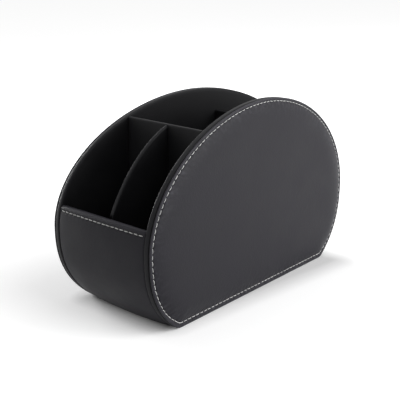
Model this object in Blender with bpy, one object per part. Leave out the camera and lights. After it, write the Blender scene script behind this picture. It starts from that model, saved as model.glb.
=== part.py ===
"""Leatherette remote control organizer: two crowned oval sides, bent end walls, a base and dividers.

Frame: X runs along the length, with the low front lip at -X, Y across it, and Z up from the surface
that the organizer stands on. The sides stand upright and close in towards the rear. "right" is the
side at -Y, on the right of someone who faces the front lip, and "left" the one at +Y.
"""

import math

import bmesh
import bpy
from mathutils import Vector

MM = 0.001

# The oval that both sides follow: a flattened ellipse, cut flat at the foot.
SIDE_LENGTH = 248 * MM
OVAL_CENTRE_HEIGHT = 58.7 * MM
OVAL_RISE = 88.1 * MM
OVAL_FALL = 80 * MM
UPPER_FULLNESS = 1.95
LOWER_FULLNESS = 2.4
APEX_SET_BACK = 4.2 * MM
FOOT_CORNER_RADIUS = 10 * MM

# The plan: overall width halfway along, and how much each side closes in per length towards the rear.
MIDDLE_WIDTH = 75 * MM
SIDE_TAPER = 0.11

# The side panels, from the lining on the inside to the crowned cover.
SIDE_THICKNESS = 6 * MM
SIDE_CROWN = 3.2 * MM
SKIN = 0.7 * MM
FIT_GAP = 0.3 * MM
SIDE_BOARD_THICKNESS = 2.6 * MM
COVER_RIM_DEPTH = 1.7 * MM
COVER_EDGE_INSET = 0.6 * MM
COVER_EDGE_DROP = 0.5 * MM
STITCH_INSET = 2.5 * MM
FOOT_STITCH_INSET = 3.8 * MM
FOOT_STITCH_RISE = 14 * MM
CROWN_INSET = 4 * MM
THREAD_DIAMETER = 0.8 * MM

# The end walls, from the crowned cover to the lining.
FRONT_LIP_HEIGHT = 76.5 * MM
REAR_LIP_HEIGHT = 109 * MM
WALL_SET_IN = 0.3 * MM
WALL_CROWN = 2.3 * MM
WALL_CROWN_POWER = 0.66
WALL_FOAM_THICKNESS = 0.7 * MM
WALL_BOARD_THICKNESS = 2.5 * MM
LIP_FOLD_DEPTH = 9 * MM
LIP_STITCH_DROP = 4 * MM
LIP_STITCH_END = 0.02

# The base, from the felt sole up.
SOLE_THICKNESS = 1 * MM
BASE_BOARD_THICKNESS = 3 * MM
FLOOR_FELT_THICKNESS = 1 * MM

# The dividers.
DIVIDER_BOARD_THICKNESS = 1.6 * MM
DIVIDER_SKIN = 0.5 * MM
FRONT_CROSS_X = -59.5 * MM
REAR_CROSS_X = 25 * MM
REAR_CROSS_HEIGHT = 128 * MM
LONG_DIVIDER_Y = -3 * MM
MIDDLE_LONG_HEIGHT = 116 * MM
RIM_STEP_DOWN = 0.7 * MM

# How finely the curves are cut.
OVAL_STEPS = 54
CORNER_STEPS = 4
FOOT_STEPS = 6
WALL_STEPS = 18
FOLD_STEPS = 3
CROWN_STEPS = 6
CROWN_RINGS = (0.05, 0.12, 0.21, 0.32, 0.46, 0.75)
CROWN_REACH = 0.46
FINE_STEPS = 200
HALVINGS = 50
SHARP_EDGE = math.radians(35)

HALF_LENGTH = SIDE_LENGTH / 2
PLAN_ANGLE = math.atan(SIDE_TAPER)
HALF_THICKNESS = SIDE_THICKNESS / 2
FLOOR_TOP = SOLE_THICKNESS + BASE_BOARD_THICKNESS + FLOOR_FELT_THICKNESS + 2 * FIT_GAP
DIVIDER_FOOT = FLOOR_TOP + FIT_GAP
DIVIDER_HALF = DIVIDER_BOARD_THICKNESS / 2 + FIT_GAP + DIVIDER_SKIN
FOAM_INSET = WALL_SET_IN + SKIN + FIT_GAP
BOARD_INSET = FOAM_INSET + WALL_FOAM_THICKNESS + FIT_GAP
LINING_INSET = BOARD_INSET + WALL_BOARD_THICKNESS + FIT_GAP
WALL_DEPTH = LINING_INSET + SKIN
FRONT, REAR = -1, 1
RIGHT, LEFT = -1, 1


def clear_scene():
    for obj in list(bpy.data.objects):
        bpy.data.objects.remove(obj, do_unlink=True)


def new_collection(name):
    collection = bpy.data.collections.new(name)
    bpy.context.scene.collection.children.link(collection)
    return collection


def material(name, colour, roughness):
    """A Principled material of one plain colour."""
    made = bpy.data.materials.new(name)
    made.use_nodes = True
    shader = made.node_tree.nodes["Principled BSDF"]
    shader.inputs["Base Color"].default_value = (*colour, 1)
    shader.inputs["Roughness"].default_value = roughness
    shader.inputs["Metallic"].default_value = 0
    return made


# The oval


def oval_point(angle, end=REAR):
    """A point (x, z) of the uncut oval. The angle runs from the widest point, up, and end mirrors it."""
    along, up = math.cos(angle), math.sin(angle)
    rise, fullness = (OVAL_RISE, UPPER_FULLNESS) if up >= 0 else (OVAL_FALL, LOWER_FULLNESS)
    height = math.copysign(abs(up) ** (2 / fullness), up)
    x = end * HALF_LENGTH * math.copysign(abs(along) ** (2 / fullness), along)
    set_back = APEX_SET_BACK * max(height, 0) ** 2
    return Vector((x + set_back, OVAL_CENTRE_HEIGHT + rise * height))


def inset_point(angle, inset, end=REAR):
    """The oval's point moved inwards, square to the curve."""
    step = 1e-4
    tangent = oval_point(angle + step, end) - oval_point(angle - step, end)
    inward = end * Vector((-tangent.y, tangent.x)).normalized()
    return oval_point(angle, end) + inset * inward


def angle_at_height(height, inset=0.0, end=REAR):
    """The angle at which the inset oval passes a height, found by halving."""
    clear_of_ends = 0.01
    low, high = clear_of_ends - math.pi / 2, math.pi / 2 - clear_of_ends
    for _ in range(HALVINGS):
        middle = (low + high) / 2
        if inset_point(middle, inset, end).y < height:
            low = middle
        else:
            high = middle
    return (low + high) / 2


def oval_height(x):
    """How high the rim stands at a place along the length, as the sides lie in the plan."""
    end = REAR if x > APEX_SET_BACK else FRONT
    low, high = 0.0, math.pi / 2
    for _ in range(HALVINGS):
        middle = (low + high) / 2
        if end * (oval_point(middle, end).x * math.cos(PLAN_ANGLE) - x) > 0:
            low = middle
        else:
            high = middle
    return oval_point(low, end).y


def side_outline():
    """The side's outline, anticlockwise from the rear foot corner, with both foot corners rounded."""
    rear_start = angle_at_height(FOOT_CORNER_RADIUS, FOOT_CORNER_RADIUS, REAR)
    front_start = angle_at_height(FOOT_CORNER_RADIUS, FOOT_CORNER_RADIUS, FRONT)
    rear_corner = foot_corner(rear_start, REAR)
    front_corner = foot_corner(front_start, FRONT)
    curve = [oval_point(angle, REAR) for angle in spread(rear_start, math.pi / 2, FINE_STEPS)]
    curve += [oval_point(angle, FRONT) for angle in spread(math.pi / 2, front_start, FINE_STEPS)][1:]
    foot = [front_corner[0].lerp(rear_corner[0], step / FOOT_STEPS) for step in range(1, FOOT_STEPS)]
    return rear_corner + resampled(curve, OVAL_STEPS) + front_corner[::-1] + foot


def foot_corner(start, end):
    """The rounding from the flat foot up to where the oval begins, without that last point."""
    centre = inset_point(start, FOOT_CORNER_RADIUS, end)
    to_curve = oval_point(start, end) - centre
    full_turn = math.atan2(to_curve.y, end * to_curve.x) + math.pi / 2
    points = []
    for step in range(CORNER_STEPS):
        turn = full_turn * step / CORNER_STEPS - math.pi / 2
        points.append(centre + FOOT_CORNER_RADIUS * Vector((end * math.cos(turn), math.sin(turn))))
    return points


def spread(first, last, steps):
    """Equal steps from one value to another, with both of them."""
    return [first + (last - first) * step / steps for step in range(steps + 1)]


def resampled(points, steps):
    """The same line with its points at equal distances."""
    lengths = [0.0]
    for a, b in zip(points, points[1:]):
        lengths.append(lengths[-1] + (b - a).length)
    made = []
    index = 0
    for step in range(steps + 1):
        target = lengths[-1] * step / steps
        while index < len(points) - 2 and lengths[index + 1] < target:
            index += 1
        share = (target - lengths[index]) / (lengths[index + 1] - lengths[index])
        made.append(points[index].lerp(points[index + 1], share))
    return made


def inset_loop(points, inset):
    """A closed outline moved inwards, with each corner on its bisector."""
    made = []
    for before, point, after in zip(points[-1:] + points[:-1], points, points[1:] + points[:1]):
        first = (point - before).normalized()
        second = (after - point).normalized()
        bisector = Vector((-first.y - second.y, first.x + second.x)).normalized()
        made.append(point + bisector * inset / bisector.dot(Vector((-second.y, second.x))))
    return made


def stitch_line(outline):
    """The line of a side's seam, which lies further in along the foot than round the oval."""
    round_oval = inset_loop(outline, STITCH_INSET)
    along_foot = inset_loop(outline, FOOT_STITCH_INSET)
    line = []
    for point, here, there in zip(outline, round_oval, along_foot):
        share = 1 - min(point.y / FOOT_STITCH_RISE, 1)
        line.append(here.lerp(there, share * share * (3 - 2 * share)))
    return line


def scaled_loop(points, share):
    """A closed outline drawn in towards the middle of the side."""
    middle = Vector((0, (OVAL_CENTRE_HEIGHT + OVAL_RISE) / 2))
    return [point.lerp(middle, share) for point in points]


# The plan


def inner_half_width(x):
    """Half the clear width between the two side linings, at a place along the length."""
    return MIDDLE_WIDTH / 2 - SIDE_THICKNESS / math.cos(PLAN_ANGLE) - SIDE_TAPER * x


def seat_half_width(x):
    """Half the length of a piece that reaches from lining to lining."""
    return inner_half_width(x) - FIT_GAP


# Solids


def loft(name, loops, surface, collection):
    """A solid through closed loops of equally many points, with a face on the first and the last."""
    mesh = bpy.data.meshes.new(name)
    shape = bmesh.new()
    rings = [[shape.verts.new(point) for point in loop] for loop in loops]
    for ring, following in zip(rings, rings[1:]):
        for index, corner in enumerate(ring):
            after = (index + 1) % len(ring)
            shape.faces.new((corner, ring[after], following[after], following[index]))
    shape.faces.new(rings[0][::-1])
    shape.faces.new(rings[-1])
    bmesh.ops.recalc_face_normals(shape, faces=shape.faces[:])
    shape.to_mesh(mesh)
    shape.free()
    mesh.shade_smooth()
    mesh.set_sharp_from_angle(angle=SHARP_EDGE)
    mesh.materials.append(surface)
    obj = bpy.data.objects.new(name, mesh)
    collection.objects.link(obj)
    return obj


def between_sides(name, profile, surface, collection):
    """A solid of one profile (x, z) that reaches from lining to lining and follows their taper."""
    loops = []
    for side in (RIGHT, LEFT):
        loops.append([Vector((point.x, side * seat_half_width(point.x), point.y)) for point in profile])
    return loft(name, loops, surface, collection)


def plate(name, outline, centre_y, thickness, surface, collection):
    """An upright board of an outline (x, z), as a mesh."""
    curve = bpy.data.curves.new(name, "CURVE")
    curve.dimensions = "2D"
    curve.fill_mode = "BOTH"
    curve.extrude = thickness / 2
    spline = curve.splines.new("POLY")
    spline.points.add(len(outline) - 1)
    for place, point in zip(spline.points, outline):
        place.co = (point.x, point.y, 0, 1)
    spline.use_cyclic_u = True
    drawn = bpy.data.objects.new(name + ".curve", curve)
    bpy.context.scene.collection.objects.link(drawn)
    drawn.rotation_euler.x = math.radians(90)
    drawn.location.y = centre_y
    bpy.context.view_layer.update()
    graph = bpy.context.evaluated_depsgraph_get()
    mesh = bpy.data.meshes.new_from_object(drawn.evaluated_get(graph))
    mesh.name = name
    shape = bmesh.new()
    shape.from_mesh(mesh)
    bmesh.ops.remove_doubles(shape, verts=shape.verts[:], dist=0.01 * MM)
    bmesh.ops.recalc_face_normals(shape, faces=shape.faces[:])
    shape.to_mesh(mesh)
    shape.free()
    mesh.materials.clear()
    mesh.materials.append(surface)
    obj = bpy.data.objects.new(name, mesh)
    obj.matrix_world = drawn.matrix_world
    collection.objects.link(obj)
    bpy.data.objects.remove(drawn, do_unlink=True)
    return obj


def thread(name, points, closed, surface, collection):
    """A sewing thread along its points."""
    curve = bpy.data.curves.new(name, "CURVE")
    curve.dimensions = "3D"
    curve.bevel_depth = THREAD_DIAMETER / 2
    curve.bevel_resolution = 1
    curve.use_fill_caps = True
    spline = curve.splines.new("POLY")
    spline.points.add(len(points) - 1)
    for place, point in zip(spline.points, points):
        place.co = (*point, 1)
    spline.use_cyclic_u = closed
    curve.materials.append(surface)
    obj = bpy.data.objects.new(name, curve)
    collection.objects.link(obj)
    return obj


# The sides


def place_side(obj, side):
    """Stands a piece of a side upright at its place and angle in the plan."""
    obj.location.y = side * (MIDDLE_WIDTH / 2 - HALF_THICKNESS / math.cos(PLAN_ANGLE))
    obj.rotation_euler.z = -side * PLAN_ANGLE


def side_loop(points, depth, side):
    """An outline at a depth, which counts outwards from the middle of the side's thickness."""
    return [Vector((point.x, side * depth, point.y)) for point in points]


def crown_depth(share):
    """How far the cover swells where the outline is drawn in by a share."""
    return SIDE_CROWN * math.sin(math.pi / 2 * min(share / CROWN_REACH, 1))


def crowned_loops(outline, inset, below, side):
    """Loops over the swelling face, from its edge to the middle, at a depth below the cover's face."""
    edge = inset_loop(outline, inset)
    loops = [side_loop(edge, HALF_THICKNESS - below, side)]
    for share in CROWN_RINGS:
        depth = HALF_THICKNESS + crown_depth(share) - below
        loops.append(side_loop(scaled_loop(edge, share), depth, side))
    return loops


def build_side(side, finishes, collection):
    """A lining tray with a board in it, and a crowned cover over foam, sewn together round the rim."""
    name = "right" if side == RIGHT else "left"
    outline = side_outline()
    board_back = SKIN + FIT_GAP - HALF_THICKNESS
    board_face = board_back + SIDE_BOARD_THICKNESS
    cover_start = HALF_THICKNESS - COVER_RIM_DEPTH
    tray_edge = cover_start - FIT_GAP
    tray = inset_loop(outline, SKIN)
    board = inset_loop(outline, SKIN + FIT_GAP)

    lining = [
        side_loop(outline, -HALF_THICKNESS, side),
        side_loop(outline, tray_edge, side),
        side_loop(tray, tray_edge, side),
        side_loop(tray, SKIN - HALF_THICKNESS, side),
    ]
    place_side(loft(f"{name}_side_lining", lining, finishes["lining"], collection), side)

    core = [side_loop(board, board_back, side), side_loop(board, board_face, side)]
    place_side(loft(f"{name}_side_board", core, finishes["board"], collection), side)

    foam_below = SKIN + FIT_GAP
    foam = [side_loop(inset_loop(outline, CROWN_INSET), board_face + FIT_GAP, side)]
    foam += crowned_loops(outline, CROWN_INSET, foam_below, side)
    place_side(loft(f"{name}_side_foam", foam, finishes["foam"], collection), side)

    cover = crowned_loops(outline, CROWN_INSET, 0, side)[::-1]
    cover.append(side_loop(inset_loop(outline, STITCH_INSET), HALF_THICKNESS, side))
    cover.append(side_loop(inset_loop(outline, COVER_EDGE_INSET), HALF_THICKNESS, side))
    cover.append(side_loop(outline, HALF_THICKNESS - COVER_EDGE_DROP, side))
    cover.append(side_loop(outline, cover_start, side))
    cover.append(side_loop(tray, cover_start, side))
    cover.append(side_loop(tray, HALF_THICKNESS - SKIN, side))
    cover += crowned_loops(outline, CROWN_INSET, SKIN, side)
    place_side(loft(f"{name}_side_cover", cover, finishes["cover"], collection), side)

    depth = HALF_THICKNESS + FIT_GAP + THREAD_DIAMETER / 2
    stitches = side_loop(stitch_line(outline), depth, side)
    place_side(thread(f"{name}_side_stitching", stitches, True, finishes["thread"], collection), side)


# The end walls


def wall_point(angle, inset, end):
    """A point (x, z) of an end wall's face, foreshortened as the sides are by their angle in the plan."""
    point = inset_point(angle, inset, end)
    return Vector((point.x * math.cos(PLAN_ANGLE), point.y))


def wall_line(inset, foot, top_angle, end, swell=0.0):
    """Points (x, z) up one face of an end wall, from a height to the angle of its top."""
    start = angle_at_height(foot, inset - swell, end)
    return [wall_point(angle, inset - swell, end) for angle in spread(start, top_angle, WALL_STEPS)]


def lip_angle(end):
    """The angle at which an end wall stops."""
    height = FRONT_LIP_HEIGHT if end == FRONT else REAR_LIP_HEIGHT
    return angle_at_height(height, 0.0, end)


def angle_below_lip(end, distance, inset):
    """The angle at a distance down the wall from its top edge, measured along the wall."""
    angle = lip_angle(end)
    here = inset_point(angle, inset, end)
    travelled = 0.0
    step = 0.001
    while travelled < distance:
        angle -= step
        following = inset_point(angle, inset, end)
        travelled += (following - here).length
        here = following
    return angle


def wall_swell(share):
    """How far the wall's cover stands out, from one side (0) to the other (1)."""
    return WALL_CROWN * math.sin(math.pi * share) ** WALL_CROWN_POWER


def across(name, profile_at, surface, collection):
    """A solid from lining to lining whose profile (x, z) changes on the way."""
    loops = []
    for share in spread(0.0, 1.0, CROWN_STEPS):
        loop = []
        for point in profile_at(share):
            loop.append(Vector((point.x, (2 * share - 1) * seat_half_width(point.x), point.y)))
        loops.append(loop)
    return loft(name, loops, surface, collection)


def build_wall(end, finishes, collection):
    """A bent board, lined inside; outside, foam and a cover that folds over the lip and is sewn there."""
    name = "front" if end == FRONT else "rear"
    lip = lip_angle(end)
    board_top = angle_below_lip(end, SKIN + FIT_GAP, BOARD_INSET)
    lining_top = angle_below_lip(end, LIP_FOLD_DEPTH + FIT_GAP, LINING_INSET)
    fold_foot = angle_below_lip(end, LIP_FOLD_DEPTH, LINING_INSET)
    board_foot = SOLE_THICKNESS + FIT_GAP

    def cover_profile(share):
        swell = wall_swell(share)
        outer = wall_line(WALL_SET_IN, 0, lip, end, swell)
        over_top = angle_below_lip(end, SKIN, WALL_SET_IN)
        fold = [wall_point(angle, WALL_DEPTH, end) for angle in spread(lip, fold_foot, FOLD_STEPS)]
        fold += [wall_point(angle, LINING_INSET, end) for angle in spread(fold_foot, over_top, FOLD_STEPS)]
        inner = wall_line(WALL_SET_IN + SKIN, 0, over_top, end, swell)
        return outer + fold + inner[::-1]

    def foam_profile(share):
        outer = wall_line(FOAM_INSET, board_foot, board_top, end, wall_swell(share))
        inner = wall_line(FOAM_INSET + WALL_FOAM_THICKNESS, board_foot, board_top, end)
        return outer + inner[::-1]

    across(f"{name}_wall_cover", cover_profile, finishes["cover"], collection)
    across(f"{name}_wall_foam", foam_profile, finishes["foam"], collection)

    board = wall_line(BOARD_INSET, board_foot, board_top, end)
    board += wall_line(BOARD_INSET + WALL_BOARD_THICKNESS, board_foot, board_top, end)[::-1]
    between_sides(f"{name}_wall_board", board, finishes["board"], collection)

    lining = wall_line(LINING_INSET, FLOOR_TOP + FIT_GAP, lining_top, end)
    lining += wall_line(WALL_DEPTH, FLOOR_TOP + FIT_GAP, lining_top, end)[::-1]
    between_sides(f"{name}_wall_lining", lining, finishes["lining"], collection)

    stitch_angle = angle_below_lip(end, LIP_STITCH_DROP, WALL_SET_IN)
    row = []
    for share in spread(LIP_STITCH_END, 1 - LIP_STITCH_END, 2 * CROWN_STEPS):
        swell = wall_swell(share)
        stand_off = FIT_GAP + THREAD_DIAMETER / 2
        point = wall_point(stitch_angle, WALL_SET_IN - swell - stand_off, end)
        row.append(Vector((point.x, (2 * share - 1) * seat_half_width(point.x), point.y)))
    thread(f"{name}_lip_stitching", row, False, finishes["thread"], collection)


def wall_face_x(inset, height, end):
    """Where a face of an end wall stands at a height."""
    return wall_point(angle_at_height(height, inset, end), inset, end).x


# The base


def base_slab(name, low, high, inset, surface, collection):
    """A slab of the base that reaches to the faces of both end walls."""
    corners = []
    for end, height in ((FRONT, low), (REAR, low), (REAR, high), (FRONT, high)):
        x = wall_face_x(inset, low, end) - end * FIT_GAP
        corners.append(Vector((x, height)))
    return between_sides(name, corners, surface, collection)


def build_base(finishes, collection):
    """A felt sole, a board and a floor of felt."""
    board_low = SOLE_THICKNESS + FIT_GAP
    board_high = board_low + BASE_BOARD_THICKNESS
    felt_low = board_high + FIT_GAP
    board_face = BOARD_INSET + WALL_BOARD_THICKNESS
    base_slab("base_sole", 0, SOLE_THICKNESS, WALL_SET_IN + SKIN, finishes["felt"], collection)
    base_slab("base_board", board_low, board_high, board_face, finishes["board"], collection)
    base_slab("floor_felt", felt_low, FLOOR_TOP, board_face, finishes["felt"], collection)


# The dividers


def cross_divider(name, x, height, finishes, collection):
    """A board from side to side, and its wrap, folded over the top edge."""
    board_half = DIVIDER_BOARD_THICKNESS / 2
    slot_half = board_half + FIT_GAP
    board_top = height - DIVIDER_SKIN - FIT_GAP
    slot_top = height - DIVIDER_SKIN
    board = [
        Vector((x - board_half, DIVIDER_FOOT)),
        Vector((x + board_half, DIVIDER_FOOT)),
        Vector((x + board_half, board_top)),
        Vector((x - board_half, board_top)),
    ]
    wrap = [
        Vector((x - DIVIDER_HALF, DIVIDER_FOOT)),
        Vector((x - slot_half, DIVIDER_FOOT)),
        Vector((x - slot_half, slot_top)),
        Vector((x + slot_half, slot_top)),
        Vector((x + slot_half, DIVIDER_FOOT)),
        Vector((x + DIVIDER_HALF, DIVIDER_FOOT)),
        Vector((x + DIVIDER_HALF, height)),
        Vector((x - DIVIDER_HALF, height)),
    ]
    between_sides(name + "_board", board, finishes["board"], collection)
    between_sides(name + "_wrap", wrap, finishes["lining"], collection)


def long_divider(name, outline, slot, board, finishes, collection, cutters):
    """An upright board along the length, and its wrap, cut hollow so that it covers both faces."""
    plate(name + "_board", board, LONG_DIVIDER_Y, DIVIDER_BOARD_THICKNESS, finishes["board"], collection)
    wrap = plate(name + "_wrap", outline, LONG_DIVIDER_Y, 2 * DIVIDER_HALF, finishes["lining"], collection)
    slot_width = DIVIDER_BOARD_THICKNESS + 2 * FIT_GAP
    cutter = plate(name + "_slot", slot, LONG_DIVIDER_Y, slot_width, finishes["board"], cutters)
    cutter.hide_render = True
    cutter.display_type = "WIRE"
    cut = wrap.modifiers.new("slot for the board", "BOOLEAN")
    cut.operation = "DIFFERENCE"
    cut.object = cutter


def front_long_top(x, margin=0.0):
    """Height of the front long divider: level with the rims at its rear and with the lip at its front."""
    front_x = wall_point(lip_angle(FRONT), WALL_DEPTH + FIT_GAP, FRONT).x
    rear_x = front_long_rear()
    drop = oval_height(front_x) - RIM_STEP_DOWN - FRONT_LIP_HEIGHT

    def height(place):
        share = (rear_x - place) / (rear_x - front_x)
        return oval_height(place) - RIM_STEP_DOWN - drop * share**2

    step = 0.1 * MM
    slope = (height(x + step) - height(x - step)) / (2 * step)
    return height(x) - margin * math.hypot(1, slope)


def front_long_rear():
    """Where the front long divider stops, just in front of the front cross divider."""
    return FRONT_CROSS_X - DIVIDER_HALF - FIT_GAP


def front_long_outline(margin, foot):
    """Its outline, or the same drawn in by a margin at the top and the front, for its slot and its board."""
    inset = WALL_DEPTH + FIT_GAP + margin
    low, high = angle_at_height(OVAL_CENTRE_HEIGHT, 0, FRONT), lip_angle(FRONT)
    for _ in range(HALVINGS):
        middle = (low + high) / 2
        point = wall_point(middle, inset, FRONT)
        if point.y < front_long_top(point.x, margin):
            low = middle
        else:
            high = middle
    edge = wall_line(inset, foot, low, FRONT)
    top = []
    for x in spread(edge[-1].x, front_long_rear(), WALL_STEPS)[1:]:
        top.append(Vector((x, front_long_top(x, margin))))
    return [Vector((front_long_rear(), foot))] + edge + top


def box_outline(first_x, last_x, foot, top):
    """A rectangle (x, z), in the same turning sense as the front long divider's outline."""
    return [Vector((last_x, foot)), Vector((first_x, foot)), Vector((first_x, top)), Vector((last_x, top))]


def build_dividers(finishes, collection, cutters):
    """Two cross dividers from side to side, and a long one in front of each."""
    front_height = oval_height(FRONT_CROSS_X) - RIM_STEP_DOWN
    cross_divider("front_cross_divider", FRONT_CROSS_X, front_height, finishes, collection)
    cross_divider("rear_cross_divider", REAR_CROSS_X, REAR_CROSS_HEIGHT, finishes, collection)

    past = 1 * MM
    outline = front_long_outline(0, DIVIDER_FOOT)
    slot = front_long_outline(DIVIDER_SKIN, -past)
    slot[0].x += past
    slot.append(slot[-1] + Vector((past, 0)))
    board = front_long_outline(DIVIDER_SKIN + FIT_GAP, DIVIDER_FOOT)
    long_divider("front_long_divider", outline, slot, board, finishes, collection, cutters)

    first_x = FRONT_CROSS_X + DIVIDER_HALF + FIT_GAP
    last_x = REAR_CROSS_X - DIVIDER_HALF - FIT_GAP
    outline = box_outline(first_x, last_x, DIVIDER_FOOT, MIDDLE_LONG_HEIGHT)
    slot = box_outline(first_x - past, last_x + past, 0, MIDDLE_LONG_HEIGHT - DIVIDER_SKIN)
    board_top = MIDDLE_LONG_HEIGHT - DIVIDER_SKIN - FIT_GAP
    board = box_outline(first_x, last_x, DIVIDER_FOOT, board_top)
    long_divider("middle_long_divider", outline, slot, board, finishes, collection, cutters)


def main():
    clear_scene()
    collection = new_collection("remote_control_organizer")
    cutters = new_collection("cutters")
    finishes = {
        "cover": material("black_leatherette", (0.022, 0.022, 0.024), 0.5),
        "lining": material("lining_leatherette", (0.016, 0.016, 0.018), 0.65),
        "board": material("greyboard", (0.21, 0.20, 0.18), 0.9),
        "foam": material("foam_padding", (0.08, 0.08, 0.08), 0.95),
        "felt": material("black_felt", (0.012, 0.012, 0.013), 0.95),
        "thread": material("white_thread", (0.75, 0.75, 0.73), 0.6),
    }
    for side in (RIGHT, LEFT):
        build_side(side, finishes, collection)
    for end in (FRONT, REAR):
        build_wall(end, finishes, collection)
    build_base(finishes, collection)
    build_dividers(finishes, collection, cutters)


main()
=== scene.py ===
"""Looks of a leatherette remote control organizer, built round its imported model.

Frame: metres, X along the length with the low front lip at -X, Y across it, Z up from the floor.
"right" is the side at -Y, on the right of someone who faces the front lip, and "left" the one at +Y.
A finish is a frozen dataclass, and each sub-assembly is a dataclass of its real sizes whose methods
build its meshes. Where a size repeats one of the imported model, its value is the same.
"""

import logging
import math
import random
from collections.abc import Callable, Sequence
from dataclasses import dataclass, field
from enum import Enum
from functools import cached_property

import bmesh
import bpy
import numpy as np
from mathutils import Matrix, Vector, noise


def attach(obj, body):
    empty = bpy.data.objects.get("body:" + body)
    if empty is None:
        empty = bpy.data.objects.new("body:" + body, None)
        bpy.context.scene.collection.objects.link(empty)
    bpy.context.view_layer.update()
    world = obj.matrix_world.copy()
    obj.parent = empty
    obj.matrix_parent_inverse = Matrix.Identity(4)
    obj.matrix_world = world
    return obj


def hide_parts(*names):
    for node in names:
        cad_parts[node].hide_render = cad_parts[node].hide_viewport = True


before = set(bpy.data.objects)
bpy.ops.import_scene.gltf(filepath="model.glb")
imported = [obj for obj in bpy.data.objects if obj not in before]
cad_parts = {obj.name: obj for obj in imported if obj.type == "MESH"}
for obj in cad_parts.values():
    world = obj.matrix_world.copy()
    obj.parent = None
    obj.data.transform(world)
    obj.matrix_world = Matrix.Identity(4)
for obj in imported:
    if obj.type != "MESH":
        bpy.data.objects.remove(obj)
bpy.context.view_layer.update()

MM = 0.001
# Which output of a Mix node is its colour.
MIXED_COLOUR = 2
# The attribute that stores how pale leatherette is painted: wear, and a painted highlight on edges and
# ridges.
EDGE = "edge"
# Refractive index of the plastics.
PLASTIC_IOR = 1.5
# Folds sharper than this aren't shaded smooth.
SHARP_CREASE = math.radians(50)
# How many times a search halves its range.
HALVINGS = 40
LOG = logging.getLogger("organizer")

Tree = bpy.types.NodeTree
Output = bpy.types.NodeSocket
Piece = bpy.types.Object
Range = tuple[float, float]
Loop = list[Vector]
# Gives a point of a middle plane for a share along it and a share of the way up.
Place = Callable[[float, float], Vector]


class Named(Enum):
    """One of the two sides or ends; the value is the sign of its Y or X."""

    @property
    def word(self) -> str:
        """Its name in node names."""
        return self.name.lower()


class Side(Named):
    """An upright side panel."""

    RIGHT = -1
    LEFT = 1


class End(Named):
    """A bent end wall, or the half of the oval that it follows."""

    FRONT = -1
    REAR = 1


# Finishes


def linear(hex_colour: str) -> tuple[float, float, float, float]:
    """Turns an sRGB hex colour into the linear colour that shaders take.

    Args:
        hex_colour: Six hex digits after a hash, such as "#2b2b2d".

    Returns:
        Red, green, blue and an alpha of 1.
    """
    channels = [int(hex_colour[start : start + 2], 16) / 255 for start in (1, 3, 5)]
    red, green, blue = [c / 12.92 if c <= 0.04045 else ((c + 0.055) / 1.055) ** 2.4 for c in channels]
    return red, green, blue, 1.0


def add_node(
    tree: Tree, kind: str, inputs: dict[str, object] | None = None, **settings: object
) -> bpy.types.Node:
    """Adds a shader node.

    Args:
        tree: The tree that it goes in.
        kind: Blender's name for the node's type.
        inputs: For each socket's identifier, its value, or the output that is linked to it.
        settings: The node's own properties.

    Returns:
        The node.
    """
    node = tree.nodes.new(kind)
    for name, value in settings.items():
        setattr(node, name, value)
    sockets = {socket.identifier: socket for socket in node.inputs}
    for name, value in (inputs or {}).items():
        if isinstance(value, Output):
            tree.links.new(value, sockets[name])
        else:
            sockets[name].default_value = value
    return node


def calculated(tree: Tree, operation: str, *values: object) -> Output:
    """The result of a calculation with one to three values or outputs."""
    inputs = dict(zip(("Value", "Value_001", "Value_002"), values))
    return add_node(tree, "ShaderNodeMath", inputs, operation=operation).outputs[0]


def measured(tree: Tree, operation: str, *vectors: object, result: str = "Vector") -> Output:
    """The result of a calculation with one or two vectors or outputs."""
    inputs = dict(zip(("Vector", "Vector_001"), vectors))
    return add_node(tree, "ShaderNodeVectorMath", inputs, operation=operation).outputs[result]


def between(tree: Tree, share: Output, first: object, last: object) -> Output:
    """The colour that lies a share of the way from one colour to another."""
    inputs = {"Factor_Float": share, "A_Color": first, "B_Color": last}
    return add_node(tree, "ShaderNodeMix", inputs, data_type="RGBA").outputs[MIXED_COLOUR]


def ranged(
    tree: Tree, value: Output, source: Range, target: Range = (0.0, 1.0)
) -> Output:
    """A value taken from one range to another and held inside it."""
    limits = dict(zip(("From Min", "From Max", "To Min", "To Max"), (*source, *target)))
    return add_node(tree, "ShaderNodeMapRange", {"Value": value, **limits}).outputs["Result"]


def noisy(tree: Tree, place: Output, width: float, **inputs: float) -> Output:
    """Noise from 0 to 1 over a place, with features of about a width."""
    values = {"Vector": place, "Scale": 1 / width, **inputs}
    return add_node(tree, "ShaderNodeTexNoise", values).outputs["Fac"]


def raised(tree: Tree, height: Output, relief: float, invert: bool = False) -> Output:
    """The normal of a surface whose height, from 0 to 1, stands for a relief."""
    inputs = {"Strength": 1.0, "Distance": relief, "Height": height}
    return add_node(tree, "ShaderNodeBump", inputs, invert=invert).outputs["Normal"]


def empty_material(name: str) -> tuple[bpy.types.Material, Tree]:
    """Makes a material without nodes.

    Args:
        name: Its name.

    Returns:
        The material and its node tree.
    """
    material = bpy.data.materials.new(name)
    material.use_nodes = True
    material.node_tree.nodes.clear()
    return material, material.node_tree


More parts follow.
